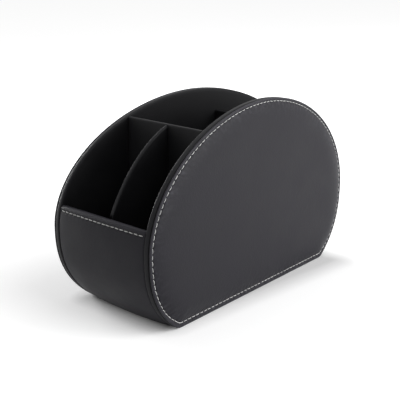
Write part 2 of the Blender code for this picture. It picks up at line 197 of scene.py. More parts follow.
@dataclass(frozen=True)
class Finish:
    """What a piece is made of.

    Args:
        name: The material's name.
        slot: The record's material slot.
    """

    name: str
    slot: str

    def surface(self, tree: Tree, place: Output) -> dict[str, object]:
        """The inputs of its shader, where the place is in the piece's own metres."""
        raise NotImplementedError

    @cached_property
    def material(self) -> bpy.types.Material:
        """Its material, made at its first use."""
        material, tree = empty_material(self.name)
        place = add_node(tree, "ShaderNodeTexCoord").outputs["Object"]
        shader = add_node(tree, "ShaderNodeBsdfPrincipled", self.surface(tree, place))
        add_node(tree, "ShaderNodeOutputMaterial", {"Surface": shader.outputs["BSDF"]})
        return material

    def dress(self, piece: Piece, *nodes: str, fill: float | None = None) -> None:
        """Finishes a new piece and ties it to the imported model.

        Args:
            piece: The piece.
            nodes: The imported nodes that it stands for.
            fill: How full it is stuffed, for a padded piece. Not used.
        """
        piece.data.materials.clear()
        piece.data.materials.append(self.material)
        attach(piece, "root")
        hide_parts(*nodes)
        LOG.info("%s: %s, %d faces", piece.name, self.name, len(piece.data.polygons))

    def refinish(self, node: str) -> None:
        """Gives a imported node, which keeps its shape, this finish.

        Args:
            node: The node's name.
        """
        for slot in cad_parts[node].material_slots:
            slot.material = self.material
        LOG.info("%s: %s, packed shape", node, self.name)


@dataclass(frozen=True)
class Leatherette(Finish):
    """Polyurethane-coated fabric with a pebble grain rolled into the warm coating.

    The roller leaves low rounded pebbles with creases between them, so the satin gloss breaks up into
    fine speckle. The backing gives a slow unevenness of tone, and edges folded over a board are
    stretched and scuffed, so that they are a little paler and glossier. Their paler colour is partly a
    painted highlight along the edges.

    Args:
        base: Colour of most of the surface.
        faded: Colour of the paler patches.
        rubbed_and_highlit: Colour along folded edges, paler from wear and a painted highlight.
        roughness: Roughness of most of the surface.
        gloss: Specular level. Fine creases scatter most of what a smooth coating of this index mirrors.
        relief: Height of a pebble.
        pebble: Width of a pebble. The real one is about half as wide, too fine for the render to show.
        wrinkle: Width of the finest folds in the coating.
        wrinkle_height: Their height, in pebbles.
        cloud: Width of the paler patches.
        patches: Where in the clouds' range the paler patches begin and are full.
        rubbed_gloss: How much smoother a folded edge is.
        faded_change: How much rougher a paler patch is.
    """

    base: str
    faded: str
    rubbed_and_highlit: str
    roughness: float
    gloss: float
    relief: float = 0.05 * MM
    pebble: float = 1.1 * MM
    wrinkle: float = 5 * MM
    wrinkle_height: float = 1.2
    cloud: float = 26 * MM
    patches: Range = (0.38, 0.66)
    rubbed_gloss: float = 0.08
    faded_change: float = 0.1

    def surface(self, tree: Tree, place: Output) -> dict[str, object]:
        """The clouded and pebbled coating, paler at its edges from wear and a painted highlight.

        Args:
            tree: The material's tree.
            place: The place on the piece.

        Returns:
            The inputs of its shader.
        """
        edge = add_node(tree, "ShaderNodeAttribute", attribute_name=EDGE).outputs["Fac"]
        clouds = noisy(tree, place, self.cloud, Detail=5.0, Roughness=0.6)
        patches = ranged(tree, clouds, self.patches)
        tone = between(tree, patches, linear(self.base), linear(self.faded))
        cells = {"Vector": place, "Scale": 1 / self.pebble}
        pebbles = add_node(tree, "ShaderNodeTexVoronoi", cells, feature="SMOOTH_F1").outputs["Distance"]
        wrinkles = noisy(tree, place, self.wrinkle, Detail=3.0, Distortion=0.4)
        hollow = calculated(tree, "MULTIPLY_ADD", wrinkles, self.wrinkle_height, pebbles)
        rubbing = ranged(tree, edge, (0.0, 1.0), (self.roughness, self.roughness - self.rubbed_gloss))
        return {
            # Paler colour where the edge attribute is high: wear, and a painted highlight along edges and
            # fold ridges.
            "Base Color": between(tree, edge, tone, linear(self.rubbed_and_highlit)),
            "Roughness": calculated(tree, "MULTIPLY_ADD", patches, self.faded_change, rubbing),
            "IOR": PLASTIC_IOR,
            "Specular IOR Level": self.gloss,
            "Metallic": 0.0,
            "Normal": raised(tree, hollow, self.relief, invert=True),
        }


@dataclass(frozen=True)
class PolyesterThread(Finish):
    """Polyester sewing thread, twisted from two plies.

    The fibres give a soft gloss along each ply, and the thread is a little greyer where hands and
    the machine have chafed it.

    Args:
        clean: Colour of most of the thread.
        greyed: Colour where it is chafed.
        change: Distance from a cleaner to a greyer part.
        limits: Where in the noise's range the greyer and the cleaner parts are full.
        sheen: Weight of the fibres' soft gloss.
    """

    clean: str
    greyed: str
    change: float = 7 * MM
    limits: Range = (0.3, 0.7)
    roughness: float = 0.55
    sheen: float = 0.2

    def surface(self, tree: Tree, place: Output) -> dict[str, object]:
        """The fibres, cleaner and greyer by turns.

        Args:
            tree: The material's tree.
            place: The place on the piece.

        Returns:
            The inputs of its shader.
        """
        share = ranged(tree, noisy(tree, place, self.change, Detail=2.0), self.limits)
        colour = between(tree, share, linear(self.greyed), linear(self.clean))
        return {
            "Base Color": colour,
            "Roughness": self.roughness,
            "IOR": PLASTIC_IOR,
            "Sheen Weight": self.sheen,
        }


@dataclass(frozen=True)
class Matted(Finish):
    """A body of matted fibres or cell walls: needled felt, pulp board or foam.

    Args:
        dark: Colour between the fibres.
        light: Colour of the fibres.
        grain: Width of a tuft of fibres.
        relief: How far a tuft stands up.
        stretch: How many times longer than wide a tuft is.
        sheen: Weight of the soft glow that raised fibres give at grazing angles.
    """

    dark: str
    light: str
    grain: float
    relief: float
    stretch: float = 1.0
    sheen: float = 0.0
    roughness: float = 0.95

    def surface(self, tree: Tree, place: Output) -> dict[str, object]:
        """The matted fibres.

        Args:
            tree: The material's tree.
            place: The place on the piece.

        Returns:
            The inputs of its shader.
        """
        drawn = {"Vector": place, "Scale": (1 / self.stretch, 1.0, 1.0)}
        along = add_node(tree, "ShaderNodeMapping", drawn).outputs["Vector"]
        fibres = noisy(tree, along, self.grain, Detail=6.0, Roughness=0.7, Distortion=0.8)
        return {
            "Base Color": between(tree, fibres, linear(self.dark), linear(self.light)),
            "Roughness": self.roughness,
            "IOR": PLASTIC_IOR,
            "Sheen Weight": self.sheen,
            "Normal": raised(tree, fibres, self.relief),
        }


# Cover: charcoal coating with a satin gloss, so pale surroundings lift it to a soft dark grey.
# Its paler edge colour stands for wear and a painted highlight along the edges.
COVER_LEATHERETTE = Leatherette(
    name="pebbled PU leatherette", slot="black_leatherette",
    base="#222126", faded="#27262b", rubbed_and_highlit="#38373d", roughness=0.48, gloss=0.16,
)
# Lining: the same coating rolled smoother and blacker; the blacker colour is partly its own and partly
# painted shade that makes the compartments look deep. Its paler edge colour is wear and a painted highlight.
LINING_LEATHERETTE = Leatherette(
    name="smooth PU lining", slot="lining_leatherette",
    base="#0f0f11", faded="#131315", rubbed_and_highlit="#1b1b1e", roughness=0.52, gloss=0.15, relief=0.025 * MM,
)
# Thread: off-white and bright against the cover, which makes the seam lines of the object.
WHITE_THREAD = PolyesterThread(
    name="twisted polyester thread", slot="white_thread", clean="#f4f4f2", greyed="#d9d9d6"
)
# Greyboard: pressed from waste paper pulp, with darker and paler flakes along the machine's run.
GREYBOARD = Matted(
    name="pressed pulp board", slot="greyboard",
    dark="#6d6a64", light="#9a968d", grain=0.8 * MM, relief=0.03 * MM, stretch=4,
)
# Foam: sliced from a block, so that its open cells leave a fine dark speckle.
PADDING_FOAM = Matted(
    name="open-cell polyurethane foam", slot="foam_padding",
    dark="#2a2a2b", light="#5a5a5b", grain=0.5 * MM, relief=0.15 * MM,
)
# Felt: polyester fibres matted by barbed needles, which leaves a soft nap and no weave.
NEEDLE_FELT = Matted(
    name="needled polyester felt", slot="black_felt",
    dark="#141415", light="#2b2b2d", grain=0.7 * MM, relief=0.2 * MM, stretch=3, sheen=0.4,
)


# Shape tools


def spread(first: float, last: float, steps: int) -> list[float]:
    """Equal steps from one value to another, with both of them."""
    return [first + (last - first) * step / steps for step in range(steps + 1)]


def bell(distance: float, width: float) -> float:
    """A smooth hump of height 1 that fades to both sides."""
    return math.exp(-((distance / width) ** 2))


def fading(distance: float, width: float) -> float:
    """1 at no distance, and evenly less up to 0 at a width."""
    return max(0.0, 1 - distance / width)


def unevenness(place: Vector, width: float) -> float:
    """A slow wave over a surface, from about -1 to 1, the same on each run."""
    return noise.noise(place / width)


def crossing(low: float, high: float, beyond: Callable[[float], bool]) -> float:
    """Finds where a test turns true, by halving.

    Args:
        low: A value before it.
        high: A value after it.
        beyond: The test.

    Returns:
        The value where it turns true.
    """
    for _ in range(HALVINGS):
        middle = (low + high) / 2
        if beyond(middle):
            high = middle
        else:
            low = middle
    return (low + high) / 2


def nearest_hole(index: int, spacing: int, holes: int) -> tuple[int, float]:
    """Finds the needle hole nearest to a point in step with a seam.

    Args:
        index: Which point, counted from the first hole.
        spacing: How many points there are from hole to hole.
        holes: How many holes there are.

    Returns:
        Which hole it is, and how near: 1 at the hole, 0 halfway to the next.
    """
    hole, place = divmod(index, spacing)
    nearness = (0.5 + 0.5 * math.cos(2 * math.pi * place / spacing)) ** 2
    if place > spacing / 2:
        hole += 1
    return hole % holes, nearness


def as_array(points: Sequence[Vector]) -> np.ndarray:
    """Points as the rows of an array."""
    return np.array([tuple(point) for point in points])


def distance_to(line: np.ndarray, place: Sequence[float]) -> float:
    """The distance from a place to the nearest of a line's points."""
    return float(np.linalg.norm(line - np.array(place), axis=1).min())


def resampled(points: Sequence[Vector], count: int) -> Loop:
    """Puts points at equal distances round a closed line.

    Args:
        points: The line's corners, without the first one again at the end.
        count: How many points the new line has.

    Returns:
        The new points, from the first corner on.
    """
    corners = as_array((*points, points[0]))
    lengths = np.concatenate([[0.0], np.cumsum(np.linalg.norm(np.diff(corners, axis=0), axis=1))])
    targets = np.arange(count) * lengths[-1] / count
    return [Vector(place) for place in zip(*(np.interp(targets, lengths, axis) for axis in corners.T))]


def inward(points: Sequence[Vector]) -> Loop:
    """For each corner of a closed outline, its way in on the bisector per unit of inset.

    Args:
        points: The outline, anticlockwise.

    Returns:
        The ways in.
    """
    ways = []
    for index, point in enumerate(points):
        first = (point - points[index - 1]).normalized()
        second = (points[(index + 1) % len(points)] - point).normalized()
        bisector = Vector((-first.y - second.y, first.x + second.x)).normalized()
        ways.append(bisector / bisector.dot(Vector((-second.y, second.x))))
    return ways


def inset_loop(points: Sequence[Vector], inset: float) -> Loop:
    """Moves a closed outline inwards by one distance all round."""
    return [point + way * inset for point, way in zip(points, inward(points))]


def in_scene(name: str, data: bpy.types.ID) -> Piece:
    """Puts a mesh, a lamp or a camera in the scene.

    Args:
        name: The new object's name.
        data: The mesh, lamp or camera.

    Returns:
        The object.
    """
    item = bpy.data.objects.new(name, data)
    bpy.context.scene.collection.objects.link(item)
    return item


def as_piece(mesh: bpy.types.Mesh) -> Piece:
    """Puts a mesh in the scene under its own name, shaded smooth up to a sharp crease.

    Args:
        mesh: The mesh.

    Returns:
        The piece.
    """
    mesh.shade_smooth()
    mesh.set_sharp_from_angle(angle=SHARP_CREASE)
    return in_scene(mesh.name, mesh)


def skinned(name: str, rows: Sequence[Sequence[Vector]], closed: bool) -> bpy.types.Mesh:
    """Puts faces between neighbouring rows of equally many points.

    Args:
        name: The mesh's name.
        rows: The rows, in order.
        closed: Whether they are rings, of which the first and the last are faces too.

    Returns:
        The mesh.
    """
    across = len(rows[0])
    count = len(rows) * across
    faces = []
    for start in range(0, count - across, across):
        for index in range(across if closed else across - 1):
            after = (index + 1) % across
            faces.append((start + index, start + after, start + across + after, start + across + index))
    if closed:
        faces += [tuple(reversed(range(across))), tuple(range(count - across, count))]
    mesh = bpy.data.meshes.new(name)
    mesh.from_pydata([tuple(point) for row in rows for point in row], [], faces)
    return mesh


def lofted(name: str, rings: Sequence[Sequence[Vector]]) -> Piece:
    """Skins closed rings of equally many points, and closes both ends with a fan.

    Args:
        name: The piece's name.
        rings: The rings, in order.

    Returns:
        The closed piece.
    """
    mesh = skinned(name, rings, closed=True)
    shape = bmesh.new()
    shape.from_mesh(mesh)
    shape.faces.ensure_lookup_table()
    bmesh.ops.poke(shape, faces=shape.faces[-2:])
    bmesh.ops.recalc_face_normals(shape, faces=shape.faces[:])
    shape.to_mesh(mesh)
    shape.free()
    return as_piece(mesh)


def sheet_of(name: str, rows: Sequence[Sequence[Vector]], thickness: float) -> Piece:
    """A folded sheet through rows of points, thickened to the inner side of its fold.

    Args:
        name: The piece's name.
        rows: The rows, all of equally many points.
        thickness: The sheet's thickness.

    Returns:
        The piece, with its thickness as a modifier.
    """
    piece = as_piece(skinned(name, rows, closed=False))
    solid = piece.modifiers.new("thickness of the sheet", "SOLIDIFY")
    solid.thickness = thickness
    solid.offset = -1
    return piece


def mark_edge(piece: Piece, closeness: Callable[[Vector], float]) -> None:
    """Stores how pale each point of a piece is, from 0 to 1 by its place: wear, and a painted highlight."""
    attribute = piece.data.attributes.new(EDGE, "FLOAT", "POINT")
    attribute.data.foreach_set("value", [closeness(corner.co) for corner in piece.data.vertices])


@dataclass(frozen=True)
class Needle:
    """Where one stitch lies: its middle, its direction, and the way out of the leatherette."""

    middle: Vector
    along: Vector
    outward: Vector


@dataclass(frozen=True)
class Stitches:
    """Lockstitches in two-ply thread, each one drawn down at both ends into its needle holes.

    Args:
        width: Width of the thread.
        pitch: Distance from needle hole to needle hole.
        gap: What shows between two stitches.
        sink: How far a stitch's ends go down.
        lay: Length in which the two plies turn once round each other.
        body: The thread's mean radius, as a share of half its width.
        plies: How far the two plies stand out of that.
        thinning: How much thinner the thread is at its ends.
        lean: How far a stitch may lean to one side, as a slope.
        lengths: The shortest and the longest stitch, as shares of the usual length.
        seed: Fixes the small differences from stitch to stitch.
        sections: Rings of points along a stitch.
        sides: Points in each ring.
    """

    width: float
    pitch: float = 4.4 * MM
    gap: float = 0.9 * MM
    sink: float = 0.4 * MM
    lay: float = 2.4 * MM
    body: float = 0.9
    plies: float = 0.12
    thinning: float = 0.45
    lean: float = 0.07
    lengths: Range = (0.95, 1.03)
    seed: int = 7
    sections: int = 12
    sides: int = 8

    def row(self, name: str, needles: Sequence[Needle]) -> Piece:
        """Makes all the stitches of a row as one piece.

        Args:
            name: The piece's name.
            needles: Where the stitches lie.

        Returns:
            The piece.
        """
        chance = random.Random(self.seed)
        shape = bmesh.new()
        for needle in needles:
            self._stitch(shape, needle, chance)
        bmesh.ops.recalc_face_normals(shape, faces=shape.faces[:])
        mesh = bpy.data.meshes.new(name)
        shape.to_mesh(mesh)
        shape.free()
        return as_piece(mesh)

    def _stitch(self, shape: bmesh.types.BMesh, needle: Needle, chance: random.Random) -> None:
        """Adds one stitch to the row's mesh.

        Args:
            shape: The mesh.
            needle: Where the stitch lies.
            chance: Gives its small differences from the others.
        """
        across = needle.outward.cross(needle.along).normalized()
        along = (needle.along + across * chance.uniform(-self.lean, self.lean)).normalized()
        length = (self.pitch - self.gap) * chance.uniform(*self.lengths)
        turn = chance.uniform(0, 2 * math.pi)
        rings = []
        for share in spread(-1.0, 1.0, self.sections):
            drop = self.sink * abs(share) ** 3
            thickness = 1 - self.thinning * abs(share) ** 8
            centre = needle.middle + along * share * length / 2 - needle.outward * drop
            twist = turn + math.pi * share * length / self.lay
            ring = []
            for side in range(self.sides):
                angle = 2 * math.pi * side / self.sides
                ply = self.body + self.plies * math.cos(2 * (angle - twist))
                offset = across * math.cos(angle) + needle.outward * math.sin(angle)
                ring.append(shape.verts.new(centre + offset * (self.width / 2 * thickness * ply)))
            rings.append(ring)
        for ring, following in zip(rings, rings[1:]):
            for side, corner in enumerate(ring):
                after = (side + 1) % self.sides
                shape.faces.new((corner, ring[after], following[after], following[side]))
        shape.faces.new(rings[0][::-1])
        shape.faces.new(rings[-1])


# The oval and the plan


@dataclass(frozen=True)
class Oval:
    """The flattened ellipse, cut flat at the foot, that both sides and both end walls follow."""

    length: float = 248 * MM
    centre_height: float = 58.7 * MM
    rise: float = 88.1 * MM
    fall: float = 80 * MM
    upper_fullness: float = 1.95
    lower_fullness: float = 2.4
    apex_set_back: float = 4.2 * MM
    foot_corner_radius: float = 10 * MM
    tip: float = 0.01
    slope_step: float = 1e-4
    half_steps: int = 300
    corner_steps: int = 12

    def point(self, angle: float, end: End) -> Vector:
        """A point of the uncut oval.

        Args:
            angle: From the widest point, up.
            end: Which half of the oval.

        Returns:
            The point (x, z) in a side's plane.
        """
        along, up = math.cos(angle), math.sin(angle)
        rise, fullness = (self.rise, self.upper_fullness) if up >= 0 else (self.fall, self.lower_fullness)
        height = math.copysign(abs(up) ** (2 / fullness), up)
        x = end.value * self.length / 2 * math.copysign(abs(along) ** (2 / fullness), along)
        return Vector((x + self.apex_set_back * max(height, 0) ** 2, self.centre_height + rise * height))

    def inset_point(self, angle: float, inset: float, end: End) -> Vector:
        """A point (x, z) of the oval moved inwards by the inset, square to the curve."""
        tangent = self.point(angle + self.slope_step, end) - self.point(angle - self.slope_step, end)
        return self.point(angle, end) + inset * end.value * Vector((-tangent.y, tangent.x)).normalized()

    def angle_at_height(self, height: float, inset: float, end: End) -> float:
        """The angle at which the oval, moved inwards by the inset, passes a height."""
        reach = math.pi / 2 - self.tip
        return crossing(-reach, reach, lambda angle: self.inset_point(angle, inset, end).y >= height)

    def outline(self, count: int) -> Loop:
        """The side's outline, with its foot corners rounded.

        Args:
            count: How many points it has, at equal distances.

        Returns:
            The points (x, z), anticlockwise from the rear foot corner.
        """
        low, up = self.foot_corner_radius, math.pi / 2
        rear, front = (self.angle_at_height(low, low, end) for end in (End.REAR, End.FRONT))
        curve = [self.point(angle, End.REAR) for angle in spread(rear, up, self.half_steps)]
        curve += [self.point(angle, End.FRONT) for angle in spread(up, front, self.half_steps)][1:]
        rear_corner, front_corner = self._foot_corner(rear, End.REAR), self._foot_corner(front, End.FRONT)
        return resampled(rear_corner + curve + front_corner[::-1], count)

    def _foot_corner(self, start: float, end: End) -> Loop:
        """The rounding from the flat foot up to where the oval begins.

        Args:
            start: The angle where the oval begins.
            end: Which half of the oval.

        Returns:
            The points (x, z), without the last one.
        """
        centre = self.inset_point(start, self.foot_corner_radius, end)
        to_curve = self.point(start, end) - centre
        full_turn = math.atan2(to_curve.y, end.value * to_curve.x) + math.pi / 2
        points = []
        for step in range(self.corner_steps):
            turn = full_turn * step / self.corner_steps - math.pi / 2
            spoke = Vector((end.value * math.cos(turn), math.sin(turn)))
            points.append(centre + self.foot_corner_radius * spoke)
        return points


@dataclass(frozen=True)
class Plan:
    """How the two sides stand: upright, and closing in towards the rear."""

    middle_width: float = 75 * MM
    taper: float = 0.11
    side_thickness: float = 6 * MM
    fit_gap: float = 0.3 * MM

    @property
    def angle(self) -> float:
        """How far each side is turned, in radians."""
        return math.atan(self.taper)

    def seat_half_width(self, x: float) -> float:
        """Half the length of a piece that reaches from lining to lining, at a place along the length."""
        inner = self.middle_width / 2 - self.side_thickness / math.cos(self.angle) - self.taper * x
        return inner - self.fit_gap

    def on_side(self, side: Side, point: Vector, depth: float) -> Vector:
        """Takes a point of a side's own plane to the row frame.

        Args:
            side: Which side it is on.
            point: The point (x, z) of the side's plane.
            depth: How far out it is from the middle of the side's thickness.

        Returns:
            The point in the row frame.
        """
        turn = -side.value * self.angle
        middle = side.value * (self.middle_width / 2 - self.side_thickness / 2 / math.cos(self.angle))
        x, y = point.x, side.value * depth
        across = x * math.sin(turn) + y * math.cos(turn)
        return Vector((x * math.cos(turn) - y * math.sin(turn), middle + across, point.y))

    def across(self, share: float, point: Vector) -> Vector:
        """A cross-section's point in the row frame, from the right lining (share 0) to the left one (1)."""
        return Vector((point.x, (2 * share - 1) * self.seat_half_width(point.x), point.y))


OVAL = Oval()
PLAN = Plan()
FRONT_LIP_HEIGHT = 76.5 * MM
REAR_LIP_HEIGHT = 109 * MM
WALL_SET_IN = 0.3 * MM
WALL_THICKNESS = 5.5 * MM
DIVIDER_HALF = 1.6 * MM


def wall_face(height: float, inset: float, end: End) -> float:
    """Where along the length a curve inside the oval passes a height, as the sides lie in the plan."""
    angle = OVAL.angle_at_height(height, inset, end)
    return OVAL.inset_point(angle, inset, end).x * math.cos(PLAN.angle)


# The sides


@dataclass(frozen=True)
class SidePanel:
    """A side: a lining tray with a board in it, and a cover over foam, sewn to it round the rim.

    The cover's and the lining's rolled edges are sections in millimetres, as pairs of how far inside
    the outline a line runs, and its depth out from the middle of the side's thickness.

    Args:
        side: Which one.
        skin: Thickness of the leatherette.
        crown: How far the padded face stands above the flat rim.
        crown_width: Distance in which it rises most of the way, evenly at first.
        stitch_inset: How far inside the outline the seam runs round the oval.
        foot_stitch_inset: How far inside it the seam runs along the foot.
        foot_stitch_rise: Height below which it begins to draw in to that.
        groove: Depth that the seam is drawn down to.
        pull: How much further each needle hole is drawn down.
        thread_rise: How far the thread's middle stands out of the groove, in widths of the thread.
        pad_back: Depth of the foam's back.
        inner_start: How many of the face's first rings the cover's inner surface leaves out.
        ripple: Height of the folds that run in from the seam.
        ridge_wear_and_highlight: How pale the folds' ridges are painted, from wear and a painted highlight.
        wave: Height of the slow unevenness of the padded face.
    """

    side: Side
    skin: float = 0.7 * MM
    crown: float = 3.2 * MM
    crown_width: float = 8.5 * MM
    stitch_inset: float = 2.5 * MM
    foot_stitch_inset: float = 3.8 * MM
    foot_stitch_rise: float = 14 * MM
    groove: float = 0.42 * MM
    groove_width: float = 0.55 * MM
    pull: float = 0.3 * MM
    pull_reach: float = 2 * MM
    pull_range: Range = (0.55, 1.35)
    thread_rise: float = 0.35
    pad_back: float = 0.9 * MM
    inner_start: int = 4
    ripple: float = 0.36 * MM
    ripple_reach: float = 4.5 * MM
    ripple_width: float = 1.8 * MM
    ridge_wear_and_highlight: float = 1.8
    wave: float = 0.16 * MM
    wave_width: float = 32 * MM
    rubbed_and_highlit_width: float = 2 * MM
    points_per_stitch: int = 6
    measuring_points: int = 400
    stitches: Stitches = Stitches(width=0.5 * MM)

    COVER_EDGE = (
        (1.7, 2.15), (1.7, 1.62), (1.2, 1.54), (0.7, 1.54), (0.35, 1.64), (0.12, 1.82),
        (0.0, 2.1), (0.06, 2.48), (0.28, 2.8), (0.62, 2.95), (0.95, 3.0),
    )
    FACE_INSETS = (1.35, 1.85, 2.2, 2.5, 2.8, 3.15, 3.6, 4.0)
    LINING_EDGE = (
        (0.72, -2.28), (0.72, 0.3), (1.7, 0.5), (1.7, 1.0), (1.2, 1.02), (0.75, 0.98),
        (0.38, 0.84), (0.14, 0.58), (0.02, 0.2), (0.0, -0.5), (0.0, -1.3), (0.02, -2.0),
        (0.1, -2.45), (0.28, -2.78), (0.55, -2.94), (0.9, -3.0), (3.0, -3.0),
    )
    SHARES = (
        0.006, 0.014, 0.026, 0.042, 0.06, 0.082, 0.108, 0.14,
        0.18, 0.23, 0.29, 0.37, 0.47, 0.6, 0.76, 0.93,
    )
    LINING_SHARES = (0.04, 0.15, 0.4, 0.9)

    def build(self) -> None:
        """Builds the panel's four soft pieces and dresses them and its board."""
        word = self.side.word
        COVER_LEATHERETTE.dress(self._cover(), f"{word}_side_cover", fill=0.9)
        LINING_LEATHERETTE.dress(self._lining(), f"{word}_side_lining")
        PADDING_FOAM.dress(self._pad(), f"{word}_side_foam", fill=1.0)
        WHITE_THREAD.dress(self._stitch_row(), f"{word}_side_stitching")
        GREYBOARD.refinish(f"{word}_side_board")

    @property
    def _half(self) -> float:
        """Half the side's thickness at its rim."""
        return PLAN.side_thickness / 2

    @cached_property
    def _middle(self) -> Vector:
        """The middle (x, z) of the side's plane."""
        return Vector((0, (OVAL.centre_height + OVAL.rise) / 2))

    @cached_property
    def _outline(self) -> Loop:
        """The outline, with a whole number of stitches round its seam."""
        seam = self._line(OVAL.outline(self.measuring_points), self.stitch_inset)
        length = sum((point - seam[index - 1]).length for index, point in enumerate(seam))
        return OVAL.outline(round(length / self.stitches.pitch) * self.points_per_stitch)

    @cached_property
    def _rim(self) -> np.ndarray:
        """The outline's points as the rows of an array."""
        return as_array(self._outline)

    @cached_property
    def _pulls(self) -> list[float]:
        """How hard each needle hole is drawn down, a little different from one to the next."""
        chance = random.Random(self.stitches.seed + self.side.value)
        return [chance.uniform(*self.pull_range) for _ in self._outline[:: self.points_per_stitch]]

    @cached_property
    def _lines(self) -> list[tuple[Loop, list[float]]]:
        """Lines over the face, from the rim to the middle, each with the insets of its points."""
        lines = []
        for inset in self.FACE_INSETS:
            line = self._line(self._outline, inset * MM)
            lines.append((line, [inset * MM] * len(line)))
        last = lines[-1][0]
        for share in self.SHARES:
            line = [edge.lerp(self._middle, share) for edge in last]
            extras = [self._extra(corner) for corner in self._outline]
            insets = [distance_to(self._rim, point) - extra for point, extra in zip(line, extras)]
            lines.append((line, insets))
        return lines

    def _extra(self, point: Vector) -> float:
        """How much further in the seam lies at a point of the outline than round the oval."""
        share = fading(point.y, self.foot_stitch_rise)
        return (self.foot_stitch_inset - self.stitch_inset) * share * share * (3 - 2 * share)

    def _line(self, outline: Loop, inset: float) -> Loop:
        """A line inside the outline that keeps in step with the seam.

        Args:
            outline: The side's outline.
            inset: How far in it runs round the oval.

        Returns:
            The line's points (x, z).
        """
        line = []
        for point, way in zip(outline, inward(outline)):
            line.append(point + way * (inset + self._extra(point) * min(inset / self.stitch_inset, 1)))
        return line

    def _height(self, index: int, point: Vector, inset: float) -> float:
        """How far the cover stands above the flat rim.

        Args:
            index: Which point round the outline.
            point: The place (x, z) in the side's plane.
            inset: Its distance inside the outline, less what the seam lies further in there.

        Returns:
            The height.
        """
        past = max(inset - self.stitch_inset, 0)
        height = self.crown * math.tanh(past / self.crown_width)
        height -= self.groove * bell(inset - self.stitch_inset, self.groove_width)
        hole, nearness = nearest_hole(index, self.points_per_stitch, len(self._pulls))
        fade = math.exp(-abs(inset - self.stitch_inset) / self.pull_reach)
        height -= self.pull * self._pulls[hole] * nearness * fade
        here = Vector((point.x, self.side.value, point.y))
        height += self.ripple * unevenness(here, self.ripple_width) * math.exp(-past / self.ripple_reach)
        return height + self.wave * unevenness(here, self.wave_width) * min(past / self.crown_width, 1)

    def _face(self, below: float) -> list[Loop]:
        """Rings over the padded face, from the rim to the middle.

        Args:
            below: How far under the cover's face the rings lie.

        Returns:
            The rings in the row frame.
        """
        rings = []
        for line, insets in self._lines:
            ring = []
            for index, (point, inset) in enumerate(zip(line, insets)):
                height = self._height(index, point, inset)
                ring.append(PLAN.on_side(self.side, point, self._half + height - below))
            rings.append(ring)
        return rings

    def _ring(self, outline: Loop, inset: float, depth: float, share: float = 0.0) -> Loop:
        """A plain ring in the row frame, drawn in from an inset by a share of the way to the middle."""
        points = [point.lerp(self._middle, share) for point in inset_loop(outline, inset)]
        return [PLAN.on_side(self.side, point, depth) for point in points]

    def _cover(self) -> Piece:
        """The outer cover: padded face, sewn groove and rolled edge, with its thickness.

        Returns:
            The piece.
        """
        inner = self._face(self.skin)[self.inner_start :][::-1]
        edge = [self._ring(self._outline, inset * MM, depth * MM) for inset, depth in self.COVER_EDGE]
        piece = lofted(f"{self.side.word}_padded_cover", inner + edge + self._face(0))
        # The rim and the folds' ridges are painted paler: wear, and a painted highlight.
        mark_edge(piece, lambda place: self._rubbed_and_highlit(place, self.ridge_wear_and_highlight))
        return piece

    def _lining(self) -> Piece:
        """The inner lining: a tray round the board, whose rolled edge is the inner half of the rim.

        Returns:
            The piece.
        """
        thin = self._outline[:: self.points_per_stitch // 2]
        tray, back = self.LINING_EDGE[0][0] * MM, self.LINING_EDGE[-1][0] * MM
        inner = self.skin - self._half
        rings = [self._ring(thin, tray, inner, share) for share in self.LINING_SHARES[::-1]]
        rings += [self._ring(thin, inset * MM, depth * MM) for inset, depth in self.LINING_EDGE]
        rings += [self._ring(thin, back, -self._half, share) for share in self.LINING_SHARES]
        piece = lofted(f"{self.side.word}_rim_lining", rings)
        # The lining's rim is painted paler as well: wear, and a painted highlight.
        mark_edge(piece, lambda place: self._rubbed_and_highlit(place, 0.0))
        return piece

    def _pad(self) -> Piece:
        """The foam between the board and the cover.

        Returns:
            The piece.
        """
        back = self._ring(self._outline, self.FACE_INSETS[-1] * MM, self.pad_back)
        front = self._face(self.skin + PLAN.fit_gap)[len(self.FACE_INSETS) - 1 :]
        return lofted(f"{self.side.word}_foam_pad", [back, *front])

    def _stitch_row(self) -> Piece:
        """The seam: a stitch from each needle hole to the next, in the cover's groove.

        Returns:
            The piece.
        """
        depth = self._half - self.groove + self.thread_rise * self.stitches.width
        line = self._line(self._outline, self.stitch_inset)
        seam = [PLAN.on_side(self.side, point, depth) for point in line]
        rise = PLAN.on_side(self.side, Vector((0, 0)), 1) - PLAN.on_side(self.side, Vector((0, 0)), 0)
        needles = []
        for hole in range(0, len(seam), self.points_per_stitch):
            along = seam[(hole + self.points_per_stitch) % len(seam)] - seam[hole]
            needles.append(Needle(seam[hole + self.points_per_stitch // 2], along.normalized(), rise))
        return self.stitches.row(f"{self.side.word}_seam_stitches", needles)

    def _rubbed_and_highlit(self, place: Vector, ridge_wear_and_highlight: float) -> float:
        """How pale the panel is: fully at the rim, and a little on the folds' ridges, from wear and a
        painted highlight.

        Args:
            place: A place in the row frame.
            ridge_wear_and_highlight: How pale the ridges are, from 0, not at all.

        Returns:
            How pale it is there, from 0 to 1.
        """
        here = Vector((place.x / math.cos(PLAN.angle), self.side.value, place.z))
        inset = distance_to(self._rim, (here.x, here.z))
        ridge = max(0.0, unevenness(here, self.ripple_width))
        # The folds' ridges are paler: wear, and a painted highlight where light would catch them.
        ridges_worn_and_highlit = ridge_wear_and_highlight * ridge * math.exp(-max(inset - self.stitch_inset, 0) / self.ripple_reach)
        return min(1.0, max(fading(inset, self.rubbed_and_highlit_width), ridges_worn_and_highlit))


# The end walls


